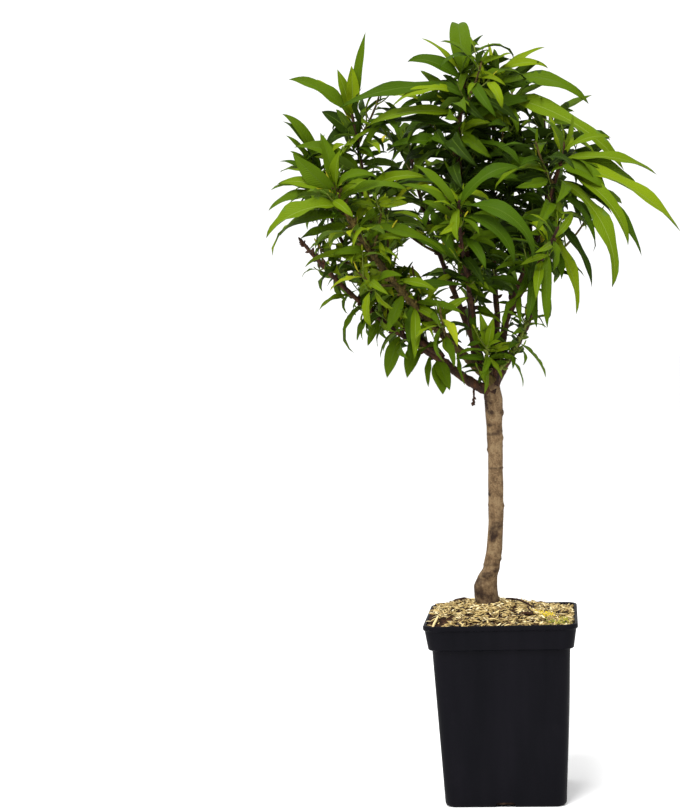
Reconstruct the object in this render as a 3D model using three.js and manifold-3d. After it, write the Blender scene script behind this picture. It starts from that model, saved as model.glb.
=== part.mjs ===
// Dwarf peach tree, grafted low and grown as a short standard, in a square five-litre nursery pot.
// Millimetres, +Z up, +X to the right and +Y to the back. The origin is the middle of the pot's underside.
//
// The pot, the growing mix, the mulch, the trunk and the boughs are single solids. Above the boughs the
// crown is made of masses: each is one solid of a stem, its twigs and their leaves, grown by one seeded rule.
import * as THREE from "three";
import { mergeVertices } from "three/addons/utils/BufferGeometryUtils.js";
import Module from "manifold-3d";

const wasm = await Module();
wasm.setup();

// ---------------------------------------------------------------- driving dimensions

const GAP = 0.3; // clear space between touching pieces
const CORNER_STEPS = 3; // facets in each rounded corner of the pot

const POT = {
  rim: 180, // across the lip
  height: 217,
  lip: 6, // height of the lip
  collarTop: 176, // across the collar, under the lip
  collarFoot: 170,
  collarDepth: 30, // from the rim down to the collar's foot
  bodyTop: 161, // across the body, under the collar
  base: 142, // across the foot
  corner: 13, // radius of the upright corners
  lipCorner: 15,
  footChamfer: 3,
  ledge: 2, // height of the slope under the collar
  wall: 1.8,
  floor: 3,
};
const DRAIN = { slotWide: 24, slotHigh: 6, slotDeep: 6.8, holeAcross: 11, holeOffset: 38, holeSides: 8 };

const MIX_TOP = 203; // level of the growing mix
const MULCH = {
  edge: 211, // level by the rim
  mound: 228, // level at the trunk
  flat: 22, // radius of the level ground round the trunk
  reach: 58, // how far the mound runs out beyond that
  ripple: 1.2,
  wave: { x: 11, y: 13 }, // lengths of the ripple
  sides: 24,
  rings: 7,
};

// The trunk from its cut at ground level to the pruned top: up is the height above the ground and right is
// the shift of its middle. The swelling on the left of the foot is the graft.
const TRUNK = {
  foot: new THREE.Vector3(-17, 12, MULCH.mound + GAP),
  sides: 12,
  rings: [
    { up: 0, right: 0, radius: 15.2 },
    { up: 8, right: -1.5, radius: 14.6 },
    { up: 22, right: -1.5, radius: 14.2 },
    { up: 33, right: 1, radius: 11.8 },
    { up: 44, right: 6, radius: 9.9 },
    { up: 66, right: 10, radius: 9.5 },
    { up: 100, right: 13, radius: 9.2 },
    { up: 140, right: 14, radius: 9.2 },
    { up: 180, right: 15, radius: 9.1 },
    { up: 212, right: 15, radius: 9.7 },
    { up: 246, right: 15, radius: 10.6 },
    { up: 264, right: 13.5, radius: 9.6 },
    { up: 284, right: 12, radius: 8.2 },
  ],
};

// A limb follows a curve with four control points and tapers from its first radius to its second.
const BOUGHS = {
  low_left_bough: limb([-4, 10, 484], [-24, 8, 491], [-42, 5, 505], [-60, 2, 522], 6.2, 5.2),
  left_front_bough: limb([-6, 6, 498], [-19, 1, 512], [-30, -4, 524], [-40, -9, 534], 5.4, 4.9),
  centre_bough: limb([-8, 12, 500], [-24, 12, 520], [-25, 11, 550], [-25, 10, 576], 5.8, 4.8),
  right_bough: limb([0, 10, 496], [6, 6, 520], [11, 4, 545], [15, 2, 566], 5, 4.2),
  back_centre_bough: limb([-4, 16, 500], [0, 30, 528], [3, 42, 552], [4, 50, 578], 4.6, 3.8),
  back_left_bough: limb([-8, 16, 496], [-16, 34, 522], [-26, 52, 546], [-36, 66, 570], 4.8, 4),
  back_right_bough: limb([0, 16, 494], [14, 34, 518], [28, 50, 540], [40, 62, 564], 4.8, 4),
};
const LIMB_SIDES = 7;
const LIMB_STEPS = 5;

// A bare spur that hangs under the lowest bough, with a dried bud at its end.
const DEAD_SPUR = limb([-25, 8, 490], [-26, 6, 482], [-25, 5, 475], [-27, 4, 470], 1.2, 1.1);
const DEAD_BUD = 2.4; // radius

// The rule of growth, shared by every stem and twig.
const LEAF = {
  turn: 144, // degrees from one leaf to the next round the twig
  wide: 0.165, // width as a share of length
  thick: 0.016, // depth of the keel as a share of length
  fold: 0.3, // rise of the edges as a share of the half width
  short: 90, // a leaf under this length has one bend, and a longer one has two
  bends: { long: [0, 0.3, 0.68, 1], short: [0, 0.42, 1] }, // places along the midrib
  breadth: { long: [0, 0.96, 0.72, 0], short: [0, 1, 0] }, // shares of the width at those places
  // Age runs from 0 at the twig's tip to 1 at its foot. Length grows to its full at the age prime.
  prime: 0.3,
  youngest: 0.26, // share of the full length
  oldest: 0.62,
  crowding: 0.85, // under 1, leaves stand closer towards the tip
  tipAngle: 18, // degrees between the youngest leaf and the twig
  sideAngle: 70, // degrees between a leaf and the twig, from the age 1 / opening on
  opening: 4,
  tipDroop: 16, // degrees that the youngest leaf bends from root to tip
  bending: 5, // a leaf bends its mass's full droop from the age 1 / bending on
  // How far a leaf may stray: shares of its length, width and droop, and degrees of its angle, turn and roll.
  stray: { length: [0.84, 1.1], width: [0.9, 1.14], droop: [0.65, 1.35], angle: 9, turn: 14, roll: 46 },
  veer: 0.09, // most that the tip strays sideways, as a share of length
  lift: 0.12, // turn of the heading to the sky
  faces: { out: 0.8, along: 0.25, up: 0.6 }, // what the upper face turns to
  tries: [0, 19, -19, 38, -38], // degrees round the twig, tried in turn where a leaf has no room
  tested: [0.4, 0.7, 1], // places of a leaf that keep out of the openings
  forward: 0.2, // a leaf that heads to the front by more than this is left off a bare front
};
const CROWN = { x: -10, y: 20 }; // the crown's upright axis
const TWIG = {
  sides: 3,
  steps: 3,
  radius: 1.9,
  tip: 1.1,
  angle: 52, // degrees between the twig's foot and the stem
  turn: 137.5, // degrees from one twig to the next round the stem
  leaves: 8,
  from: 0.3, // place of the first leaf and the last along the twig
  to: 0.97,
  leafTurn: 70, // degrees that the spiral of leaves starts further round on each next twig
  leafSize: 0.78, // of the mass's longest leaf
  shrink: 0.75, // length of the last twig as a share of the first
  stray: [0.88, 1.12], // shares of the length
  way: [0.2, 0.5, 0.8], // shares of the length at the control points, straight out
  rise: 0.3, // share of the length that the tip turns up
};
const STEM = { sides: 5, steps: 7 };
const SHOOTS_PER_MASS = 16; // keeps the scatter of each shoot its own
const TWIG_USE = 9; // the use of the scatter that twigs take, apart from those of leaves

// Places open to the sky, from the front of the crown to the back. Each has its middle, right and up, in the
// planes y = -100 and y = 130, and half its width and height. No leaf of a spiral grows into one.
const OPENINGS = [
  { front: [-72, 644], back: [-87, 650], wide: 27, high: 18 },
  { front: [-44, 603], back: [-57, 605], wide: 16, high: 11 },
  { front: [16, 589], back: [9, 590], wide: 8, high: 11 },
  { front: [-98, 754], back: [-116, 772], wide: 12, high: 7 },
  { front: [-87, 697], back: [-104, 709], wide: 20, high: 8 },
  { front: [-152, 609], back: [-176, 612], wide: 10, high: 7 },
  { front: [-9, 702], back: [-18, 714], wide: 8, high: 8 },
  { front: [-37, 575], back: [-49, 574], wide: 11, high: 5 },
  { front: [96, 651], back: [97, 658], wide: 12, high: 24 },
  { front: [77, 593], back: [77, 594], wide: 11, high: 17 },
  { front: [-188, 572], back: [-216, 571], wide: 14, high: 14 },
  { front: [-218, 665], back: [-248, 674], wide: 13, high: 10 },
  { front: [-241, 656], back: [-274, 663], wide: 14, high: 11 },
  { front: [-113, 846], back: [-133, 873], wide: 16, high: 11 },
  { front: [-92, 819], back: [-110, 843], wide: 24, high: 6 },
  { front: [54, 540], back: [51, 536], wide: 12, high: 17 },
  { front: [-40, 633], back: [-52, 639], wide: 8, high: 10 },
  { front: [83, 823], back: [83, 848], wide: 22, high: 7 },
  { front: [116, 796], back: [119, 817], wide: 10, high: 11 },
  { front: [139, 631], back: [145, 636], wide: 10, high: 13 },
  { front: [-225, 643], back: [-256, 649], wide: 11, high: 20 },
  { front: [-197, 619], back: [-225, 622], wide: 10, high: 16 },
];
const OPENING_ENDS = { front: -100, back: 130 };

// The masses. Each grows from the tip of its bough, or from the trunk, along its stem. leaves is the number
// on the stem, between from and to. long is the longest of them, turn is where the spiral starts and droop is
// how far the oldest bend, in degrees. The twigs branch from the stem by the rule. Between the two places of
// bare, the front of the stem bears no leaf. An edge leaf shapes the crown's outline: its place on the stem,
// its reach to the tip, its droop and its roll about its midrib.
const MASSES = {
  left_low_mass: {
    stem: limb([-60, 2, 522], [-100, 4, 548], [-165, 12, 590], [-231, 25, 675], 4.9, 2.3),
    leaves: 9,
    from: 0.28,
    to: 0.62,
    long: 46,
    wide: 0.24,
    turn: 250,
    droop: 56,
    twigs: { count: 1, from: 0.84, to: 0.84, long: 42, turn: 80, leaves: 0 },
    outline: [
      edge(0.05, [5, -20, -43], 20, { wide: 0.45, roll: -60 }),
      edge(0.12, [-3, -10, -40], 30, { wide: 0.2, roll: -50 }),
      edge(0.2, [-11, -14, -29], 24, { wide: 0.3, roll: -60 }),
      edge(0.26, [-8, -16, -42], 20, { wide: 0.34, roll: -80 }),
      edge(0.36, [-16, -14, -53], 20, { wide: 0.34, roll: -60 }),
      edge(0.5, [-15, -8, -33], 20, { wide: 0.3, roll: -70 }),
      edge(0.56, [-18, 4, -36], 30, { wide: 0.26, roll: -40 }),
      edge(0.61, [-23, -12, -37], 40, { wide: 0.24, roll: -40 }),
      edge(0.68, [-40, -10, -19], 70, { wide: 0.2, roll: -55 }),
      edge(0.07, [16, -22, -40], 20, { wide: 0.34, roll: -60 }),
    ],
  },
  left_upper_mass: {
    stem: limb([-65, 8, 529], [-128, 16, 575], [-140, 18, 680], [-164, 20, 836], 4.4, 1.8),
    leaves: 34,
    from: 0.16,
    to: 0.985,
    long: 104,
    turn: 20,
    droop: 86,
    twigs: { count: 5, from: 0.26, to: 0.9, long: 84, turn: 150 },
    outline: [
      edge(0.965, [20, -6, 100], 14, { wide: 0.13, roll: 80 }),
      edge(0.965, [-16, -8, 57], 14, { wide: 0.24, roll: 135 }),
      edge(0.965, [2, -14, 60], 14, { wide: 0.27, roll: 120 }),
      edge(0.96, [-78, -6, 48], 60, { wide: 0.19, roll: -60 }),
      edge(0.95, [-45, 8, 54], 40, { wide: 0.15, roll: 75 }),
      edge(0.84, [50, -12, 62], 60, { wide: 0.14, roll: 55 }),
      edge(0.88, [25, -24, -17], 80, { wide: 0.2, roll: 10 }),
      edge(0.8, [-84, -14, 34], 70, { wide: 0.2, roll: -65 }),
      edge(0.84, [32, 10, 10], 60, { wide: 0.22, roll: 60 }),
      edge(0.94, [-34, -12, -22], 36, { wide: 0.36, roll: -65 }),
      edge(0.91, [-41, -6, 32], 40, { wide: 0.4, roll: -105 }),
      edge(0.9, [-4, -16, -14], 50, { wide: 0.3, roll: -75 }),
    ],
  },
  left_front_mass: {
    stem: limb([-40, -9, 534], [-86, -34, 584], [-146, -62, 648], [-177, -80, 734], 4.9, 3.7),
    leaves: 40,
    from: 0.05,
    to: 0.985,
    long: 86,
    wide: 0.19,
    turn: 64,
    droop: 80,
    twigs: { count: 5, from: 0.1, to: 0.84, long: 64, turn: 300 },
    bare: [0.1, 0.9],
    outline: [
      edge(0.965, [-16, -6, 68], 30, { wide: 0.24, roll: 80 }),
      edge(0.965, [10, -24, 46], 26, { wide: 0.36, roll: 35 }),
      edge(0.96, [57, -22, 10], 130, { wide: 0.15, roll: 20 }),
      edge(0.93, [-72, -4, 18], 66, { wide: 0.2, roll: -10 }),
      edge(0.9, [-89, -20, -40], 76, { wide: 0.26, roll: -30 }),
      edge(0.84, [-82, -8, -22], 80, { wide: 0.24, roll: -25 }),
      edge(0.92, [85, -20, 4], 80, { wide: 0.17, roll: 15 }),
      edge(0.78, [51, 10, 24], 70, { wide: 0.18, roll: 30 }),
      edge(0.8, [108, 8, -43], 60, { wide: 0.12, roll: 5 }),
      edge(0.8, [20, -16, -11], 30, { wide: 0.26, roll: -60 }),
      edge(0.68, [-42, -12, -5], 30, { wide: 0.24, roll: -50 }),
      edge(0.66, [-30, -10, -9], 30, { wide: 0.24, roll: -50 }),
      edge(0.63, [-85, 10, -11], 70, { wide: 0.14, roll: -15 }),
      edge(0.68, [37, -14, -17], 70, { wide: 0.18, roll: -15 }),
      edge(0.64, [23, 6, -12], 50, { wide: 0.22, roll: 10 }),
      edge(0.53, [-36, -14, -17], 40, { wide: 0.2, roll: -30 }),
      edge(0.49, [52, -16, -15], 60, { wide: 0.2, roll: -5 }),
      edge(0.47, [-30, -16, -20], 40, { wide: 0.22, roll: -30 }),
      edge(0.44, [76, 14, 2], 30, { wide: 0.15, roll: 30 }),
      edge(0.43, [13, 24, 36], 20, { wide: 0.36 }),
      edge(0.42, [-20, -18, -46], 30, { wide: 0.26, roll: -60 }),
      edge(0.36, [-5, -10, -50], 20, { wide: 0.24, roll: -60 }),
      edge(0.36, [64, -4, -20], 50, { wide: 0.18, roll: -5 }),
      edge(0.34, [-1, -24, -64], 40, { wide: 0.18, roll: -60 }),
      edge(0.3, [32, -6, 11], 40, { wide: 0.2, roll: 30 }),
      edge(0.12, [16, -20, -26], 80, { wide: 0.2, roll: 15 }),
      edge(0.14, [23, 8, -12], 30, { wide: 0.24, roll: 30 }),
      edge(0.02, [9, -20, -43], 20, { wide: 0.12, roll: -5 }),
      edge(0.8, [-64, -6, -15], 40, { wide: 0.22, roll: -20 }),
      edge(0.93, [-51, -16, 54], 36, { wide: 0.3, roll: -10 }),
    ],
  },
  left_outer_mass: {
    stem: limb([-66, -3, 532], [-122, -12, 566], [-186, 34, 652], [-214, 44, 764], 3.8, 1.8),
    leaves: 34,
    from: 0.24,
    to: 0.985,
    long: 98,
    turn: 130,
    droop: 84,
    twigs: { count: 3, from: 0.36, to: 0.84, long: 64, turn: 30 },
    outline: [
      edge(0.97, [-40, -20, 74], 74, { wide: 0.18, roll: -175 }),
      edge(0.93, [-44, -16, 78], 74, { wide: 0.18, roll: -175 }),
      edge(0.96, [-31, -14, 32], 50, { wide: 0.2, roll: -140 }),
      edge(0.95, [-46, -10, 23], 60, { wide: 0.18, roll: -85 }),
      edge(0.92, [-52, -12, 4], 60, { wide: 0.19, roll: -70 }),
      edge(0.9, [-66, -6, -22], 66, { wide: 0.23, roll: -60 }),
      edge(0.76, [-5, -20, -26], 20, { wide: 0.3, roll: -60 }),
      edge(0.93, [-39, -14, 61], 50, { wide: 0.15, roll: -170 }),
    ],
  },
  front_mass: {
    stem: limb([-23, 2, 577], [-27, -14, 612], [-35, -54, 664], [-32, -86, 706], 3, 1.8),
    leaves: 22,
    from: 0.26,
    to: 0.985,
    long: 76,
    turn: 10,
    droop: 76,
    outline: [
      edge(0.96, [0, -22, -41], 40, { wide: 0.3, roll: 20 }),
      edge(0.93, [-53, 14, 55], 50, { wide: 0.15, roll: 20 }),
      edge(0.9, [-72, -4, 34], 56, { wide: 0.15, roll: 10 }),
      edge(0.95, [83, -20, -72], 120, { wide: 0.16, roll: -20 }),
      edge(0.87, [62, -26, -64], 110, { wide: 0.15, roll: -20 }),
      edge(0.95, [79, 10, 37], 110, { wide: 0.16 }),
      edge(0.5, [-69, -8, 39], 40, { wide: 0.13, roll: -20 }),
    ],
  },
  centre_top_mass: {
    stem: limb([-25, 10, 576], [-28, 8, 660], [-46, 6, 765], [-22, 0, 868], 4.6, 2),
    leaves: 38,
    from: 0.12,
    to: 0.985,
    long: 114,
    turn: 36,
    droop: 90,
    twigs: { count: 5, from: 0.14, to: 0.84, long: 88, turn: 112 },
    outline: [
      edge(0.965, [-7, 46, 66], 116, { wide: 0.26, roll: 20 }),
      edge(0.96, [-51, -4, 50], 44, { wide: 0.12, roll: 25 }),
      edge(0.95, [-69, 8, 26], 76, { wide: 0.24 }),
      edge(0.93, [-147, -30, -24], 44, { wide: 0.12, roll: -20 }),
      edge(0.91, [-85, -26, -20], 80, { wide: 0.16, roll: -25 }),
      edge(0.89, [-78, 8, -14], 60, { wide: 0.16, roll: -20 }),
      edge(0.83, [-116, -14, -17], 60, { wide: 0.16, roll: -25 }),
      edge(0.78, [-104, -8, 0], 50, { wide: 0.15, roll: -20 }),
      edge(0.7, [-84, -10, 1], 60, { wide: 0.17, roll: -25 }),
      edge(0.96, [52, -26, -16], 90, { wide: 0.14, roll: 5 }),
      edge(0.14, [21, -14, -16], 40, { wide: 0.26, roll: 30 }),
      edge(0.1, [9, -16, -3], 30, { wide: 0.3, roll: 30 }),
      edge(0.04, [27, -14, -12], 50, { wide: 0.26, roll: -5 }),
      edge(0.01, [37, -16, -16], 60, { wide: 0.26, roll: -10 }),
      edge(0.02, [7, -16, -25], 40, { wide: 0.3, roll: -5 }),
      edge(0.01, [26, -20, -48], 40, { wide: 0.28, roll: 40 }),
    ],
  },
  upper_right_mass: {
    stem: limb([4, 50, 578], [-4, 66, 680], [10, 60, 780], [6, 34, 868], 3.7, 1.8),
    leaves: 38,
    from: 0.14,
    to: 0.985,
    long: 110,
    turn: 91,
    droop: 90,
    twigs: { count: 5, from: 0.16, to: 0.86, long: 90, turn: 10 },
    outline: [
      edge(0.965, [29, -14, 28], 110, { wide: 0.15, roll: 125 }),
      edge(0.96, [-4, 6, 47], 30, { wide: 0.16, roll: -90 }),
      edge(0.96, [72, -10, 6], 104, { wide: 0.14, roll: 90 }),
      edge(0.96, [66, 8, 37], 40, { wide: 0.13, roll: 100 }),
      edge(0.94, [117, -24, -37], 84, { wide: 0.14, roll: 80 }),
      edge(0.9, [153, -34, -106], 58, { wide: 0.12, roll: 80 }),
      edge(0.88, [69, 14, 19], 60, { wide: 0.14, roll: 85 }),
    ],
  },
  right_mass: {
    stem: limb([15, 2, 566], [36, -8, 625], [72, -22, 690], [90, -30, 772], 4, 2),
    leaves: 32,
    from: 0.26,
    to: 0.985,
    long: 110,
    turn: 0,
    droop: 92,
    twigs: { count: 3, from: 0.42, to: 0.8, long: 68, turn: 300 },
    outline: [
      edge(0.965, [58, 0, 12], 70, { wide: 0.17, roll: 20 }),
      edge(0.93, [111, 6, -26], 56, { wide: 0.15, roll: 25 }),
      edge(0.92, [135, -18, -93], 50, { wide: 0.14, roll: 30 }),
      edge(0.9, [53, -26, -35], 66, { wide: 0.34, roll: 40 }),
      edge(0.93, [89, 22, -49], 84, { wide: 0.14, roll: 30 }),
      edge(0.88, [76, -26, -99], 80, { wide: 0.13, roll: 30 }),
      edge(0.84, [56, -24, -139], 90, { wide: 0.12, roll: 25 }),
      edge(0.83, [64, 4, -46], 60, { wide: 0.1, roll: 30 }),
      edge(0.78, [46, -40, -71], 70, { wide: 0.13, roll: 30 }),
      edge(0.6, [34, -20, -111], 60, { wide: 0.12, roll: 20 }),
      edge(0.66, [49, -6, -93], 60, { wide: 0.1, roll: 25 }),
      edge(0.66, [29, -30, -13], 110, { wide: 0.2, roll: 80 }),
      edge(0.12, [-18, -14, 2], 50, { wide: 0.2, roll: -20 }),
      edge(0.9, [90, -16, -114], 56, { wide: 0.1, roll: 30 }),
    ],
  },
  right_low_mass: {
    stem: limb([18, -4, 572], [36, -32, 604], [62, -70, 636], [80, -94, 672], 3, 1.6),
    leaves: 22,
    from: 0.16,
    to: 0.985,
    long: 78,
    turn: 331,
    droop: 80,
    twigs: { count: 1, from: 0.4, to: 0.4, long: 50, turn: 60 },
    outline: [
      edge(0.8, [-3, -16, -93], 40, { wide: 0.13, roll: 40 }),
      edge(0.5, [4, -22, -62], 34, { wide: 0.16, roll: 40 }),
      edge(0.9, [-2, -14, -39], 50, { wide: 0.26, roll: -10 }),
      edge(0.45, [-18, -10, -23], 40, { wide: 0.22 }),
      edge(0.3, [-21, -12, -43], 60, { wide: 0.2, roll: 55 }),
    ],
  },
  back_left_mass: {
    stem: limb([-36, 66, 570], [-62, 106, 640], [-92, 126, 710], [-104, 132, 796], 4, 1.8),
    leaves: 34,
    from: 0.08,
    to: 0.985,
    long: 100,
    turn: 75,
    droop: 88,
    twigs: { count: 4, from: 0.18, to: 0.84, long: 80, turn: 60 },
  },
  back_right_mass: {
    stem: limb([40, 62, 564], [66, 92, 640], [74, 108, 740], [66, 100, 822], 4, 1.8),
    leaves: 34,
    from: 0.2,
    to: 0.985,
    long: 100,
    turn: 15,
    droop: 88,
    twigs: { count: 4, from: 0.3, to: 0.84, long: 84, turn: 20 },
    outline: [
      edge(0.95, [73, -6, -28], 70, { wide: 0.15, roll: 80 }),
    ],
  },
  fork_left_mass: {
    stem: limb([-11, 4, 506], [-10, -8, 515], [-7, -16, 525], [-6, -22, 540], 2.4, 1.4),
    leaves: 16,
    from: 0.3,
    to: 0.985,
    long: 48,
    wide: 0.22,
    turn: 200,
    droop: 60,
    outline: [
      edge(0.7, [17, -6, -30], 46, { wide: 0.22, roll: -15 }),
      edge(0.5, [-4, -12, -38], 20, { wide: 0.22, roll: -70 }),
      edge(0.9, [-8, -10, 44], 20, { wide: 0.24 }),
      edge(0.9, [9, -14, 38], 24, { wide: 0.26 }),
      edge(0.8, [22, -16, 25], 40, { wide: 0.26 }),
    ],
  },
  fork_right_mass: {
    stem: limb([6, 4, 510], [20, -4, 524], [34, -8, 545], [42, -10, 572], 2.4, 1.4),
    leaves: 17,
    from: 0.26,
    to: 0.985,
    long: 52,
    wide: 0.19,
    turn: 120,
    droop: 68,
    outline: [
      edge(0.3, [14, -10, -36], 46, { roll: -50 }),
      edge(0.6, [30, -8, -44], 40, { roll: -40 }),
    ],
  },
};

const COLOURS = {
  pot: { color: 0x1b1b20, roughness: 0.5 },
  growing_mix: { color: 0x2b1f18, roughness: 1 },
  mulch: { color: 0xbfa86f, roughness: 0.95 },
  trunk: { color: 0x8f7554, roughness: 0.85 },
  bough: { color: 0x4a2f20, roughness: 0.8 },
  leaf: { color: 0x4f8a10, roughness: 0.5 },
};

// ---------------------------------------------------------------- numbers and vectors

function limb(a, b, c, d, radius, tip) {
  return { points: [a, b, c, d], radius, tip };
}

// A leaf that shapes the crown's edge.
function edge(at, reach, droop, { wide, roll = 0 } = {}) {
  return { at, reach, droop, wide, roll };
}

function radians(degrees) {
  return (degrees * Math.PI) / 180;
}

function mix(a, b, share) {
  return a + (b - a) * share;
}

// A fixed scatter of numbers from 0 to 1, the same each time for the same shoot, leaf and use.
function chance(shoot, leaf, use) {
  let h = Math.imul(shoot + 1, 0x9e3779b1) ^ Math.imul(leaf + 1, 0x85ebca6b);
  h ^= Math.imul(use + 1, 0xc2b2ae35);
  h = Math.imul(h ^ (h >>> 15), 0x2c1b3c6d);
  h = Math.imul(h ^ (h >>> 12), 0x297a2d39);
  return ((h ^ (h >>> 15)) >>> 0) / 4294967296;
}

function curveOf({ points }) {
  return new THREE.CubicBezierCurve3(...points.map((p) => new THREE.Vector3(...p)));
}

// ---------------------------------------------------------------- solids

// Turns a closed geometry into a solid. Faces that a pointed end has drawn down to nothing are left out.
function solidOf(geometry) {
  geometry.deleteAttribute("normal");
  geometry.deleteAttribute("uv");
  const merged = mergeVertices(geometry, 1e-4);
  const corners = Array.from(merged.index.array);
  const kept = [];
  for (let i = 0; i < corners.length; i += 3) {
    const [a, b, c] = corners.slice(i, i + 3);
    if (a !== b && b !== c && c !== a) kept.push(a, b, c);
  }
  return new wasm.Manifold(
    new wasm.Mesh({
      numProp: 3,
      vertProperties: new Float32Array(merged.attributes.position.array),
      triVerts: new Uint32Array(kept),
    }),
  );
}

// Reshapes a cylinder of radius 1 and height 1. place(along, across, behind) gives the point for a vertex
// that is so far along the cylinder, from 0 to 1, and at (across, behind) in its round section.
function reshaped(sides, steps, place, open = false) {
  const geometry = new THREE.CylinderGeometry(1, 1, 1, sides, steps, open);
  const position = geometry.getAttribute("position");
  for (let i = 0; i < position.count; i++) {
    const p = place(position.getY(i) + 0.5, position.getX(i), position.getZ(i));
    position.setXYZ(i, p.x, p.y, p.z);
  }
  return solidOf(geometry);
}

// A tapering tube along a curve, with flat ends. extra makes it thicker all round.
function tube(shape, sides, steps, extra = 0) {
  const curve = curveOf(shape);
  const frames = [];
  let across = new THREE.Vector3(1, 0, 0);
  for (let i = 0; i <= steps; i++) {
    const along = curve.getTangent(i / steps);
    across = across.clone().addScaledVector(along, -across.dot(along)).normalize();
    const middle = curve.getPoint(i / steps);
    const radius = mix(shape.radius, shape.tip, i / steps) + extra;
    frames.push({ middle, across, behind: new THREE.Vector3().crossVectors(across, along), radius });
  }
  return reshaped(sides, steps, (along, x, z) => {
    const f = frames[Math.round(along * steps)];
    return f.middle.clone().addScaledVector(f.across, x * f.radius).addScaledVector(f.behind, z * f.radius);
  });
}

// A solid of rounded squares, one above the other: levels hold { z, width, corner }.
function squareLoft(levels) {
  const sides = 4 * CORNER_STEPS;
  const steps = levels.length - 1;
  return reshaped(sides + 4, steps, (along, x, z) => {
    const { z: height, width, corner } = levels[Math.round(along * steps)];
    if (Math.hypot(x, z) < 0.5) return new THREE.Vector3(0, 0, height);
    // Each corner has one more point than it has facets, so the points are dealt out corner by corner.
    const slot = Math.round(((Math.atan2(x, z) / (2 * Math.PI) + 1) % 1) * (sides + 4));
    const quarter = Math.floor(slot / (CORNER_STEPS + 1)) % 4;
    const share = (slot % (CORNER_STEPS + 1)) / CORNER_STEPS;
    const angle = ((quarter + share) * Math.PI) / 2;
    const reach = width / 2 - corner;
    const cornerX = quarter === 0 || quarter === 3 ? reach : -reach;
    const cornerY = quarter < 2 ? reach : -reach;
    return new THREE.Vector3(cornerX + corner * Math.cos(angle), cornerY + corner * Math.sin(angle), height);
  });
}

function node(name, solid, look) {
  const { numProp, vertProperties, triVerts } = solid.getMesh();
  const corners = vertProperties.length / numProp;
  const positions = new Float32Array(corners * 3);
  for (let i = 0; i < corners; i++) {
    positions.set(vertProperties.subarray(i * numProp, i * numProp + 3), i * 3);
  }
  const geometry = new THREE.BufferGeometry()
    .setAttribute("position", new THREE.BufferAttribute(positions, 3))
    .setIndex(new THREE.BufferAttribute(triVerts, 1));
  geometry.computeVertexNormals();
  const material = new THREE.MeshStandardMaterial({ metalness: 0, flatShading: true, ...look });
  const mesh = new THREE.Mesh(geometry, material);
  mesh.name = name;
  return mesh;
}

// The largest of the bodies that a cut or a join has left.
function largest(solid) {
  return solid.decompose().reduce((best, body) => (body.volume() > best.volume() ? body : best));
}

// ---------------------------------------------------------------- pot, mix and mulch

// The width across the outside of the pot's body at a height, and across its collar.
function bodyWidth(z) {
  return mix(POT.base, POT.bodyTop, z / (POT.height - POT.collarDepth));
}
function collarWidth(z) {
  return mix(POT.collarTop, POT.collarFoot, (POT.height - z) / POT.collarDepth);
}

// The inside of the pot from one level to another, taken in by less on each side.
function potInside(less, from, to) {
  const inset = 2 * (POT.wall + less);
  const corner = POT.corner - POT.wall - less;
  const ledge = POT.height - POT.collarDepth + POT.wall + less;
  const levels = [from, ...[ledge, ledge + POT.wall].filter((z) => z > from), to];
  const width = (z) => (z > ledge ? collarWidth(z) : Math.min(bodyWidth(z), POT.bodyTop)) - inset;
  return squareLoft(levels.map((z) => ({ z, width: width(z), corner })));
}

function makePot() {
  const { corner, lipCorner, footChamfer, ledge, height } = POT;
  const shoulder = height - POT.collarDepth;
  let pot = squareLoft([
    { z: 0, width: POT.base - footChamfer, corner },
    { z: footChamfer, width: bodyWidth(footChamfer), corner },
    { z: shoulder, width: POT.bodyTop, corner },
    { z: shoulder, width: POT.collarFoot - ledge, corner },
    { z: shoulder + ledge, width: POT.collarFoot, corner },
    { z: height - POT.lip, width: POT.collarTop, corner },
    { z: height - POT.lip, width: POT.rim, corner: lipCorner },
    { z: height, width: POT.rim, corner: lipCorner },
  ]);
  pot = pot.subtract(potInside(0, POT.floor, height + 1));
  // A drain slot in the middle of each side, through the wall's foot, and a round hole near each corner.
  for (let side = 0; side < 4; side++) {
    const turn = (side * Math.PI) / 2;
    const slot = new THREE.BoxGeometry(DRAIN.slotWide, 2 * DRAIN.slotDeep, 2 * DRAIN.slotHigh);
    slot.translate(0, -POT.base / 2, 0).rotateZ(turn);
    pot = pot.subtract(solidOf(slot));
    const radius = DRAIN.holeAcross / 2;
    const hole = new THREE.CylinderGeometry(radius, radius, 4 * POT.floor, DRAIN.holeSides);
    hole.rotateX(Math.PI / 2).translate(DRAIN.holeOffset, DRAIN.holeOffset, 0).rotateZ(turn);
    pot = pot.subtract(solidOf(hole));
  }
  return pot;
}

function makeMix() {
  return potInside(GAP, POT.floor + GAP, MIX_TOP);
}

// The level of the mulch: low by the rim, and drawn up in a mound round the trunk.
function mulchLevel(x, y) {
  const away = Math.hypot(x - TRUNK.foot.x, y - TRUNK.foot.y);
  const past = Math.max(0, away - MULCH.flat) / MULCH.reach;
  const wave = Math.sin(x / MULCH.wave.x) * Math.cos(y / MULCH.wave.y) * Math.min(1, past * 3);
  return MULCH.edge + (MULCH.mound - MULCH.edge) * Math.exp(-past * past) + MULCH.ripple * wave;
}

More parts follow.
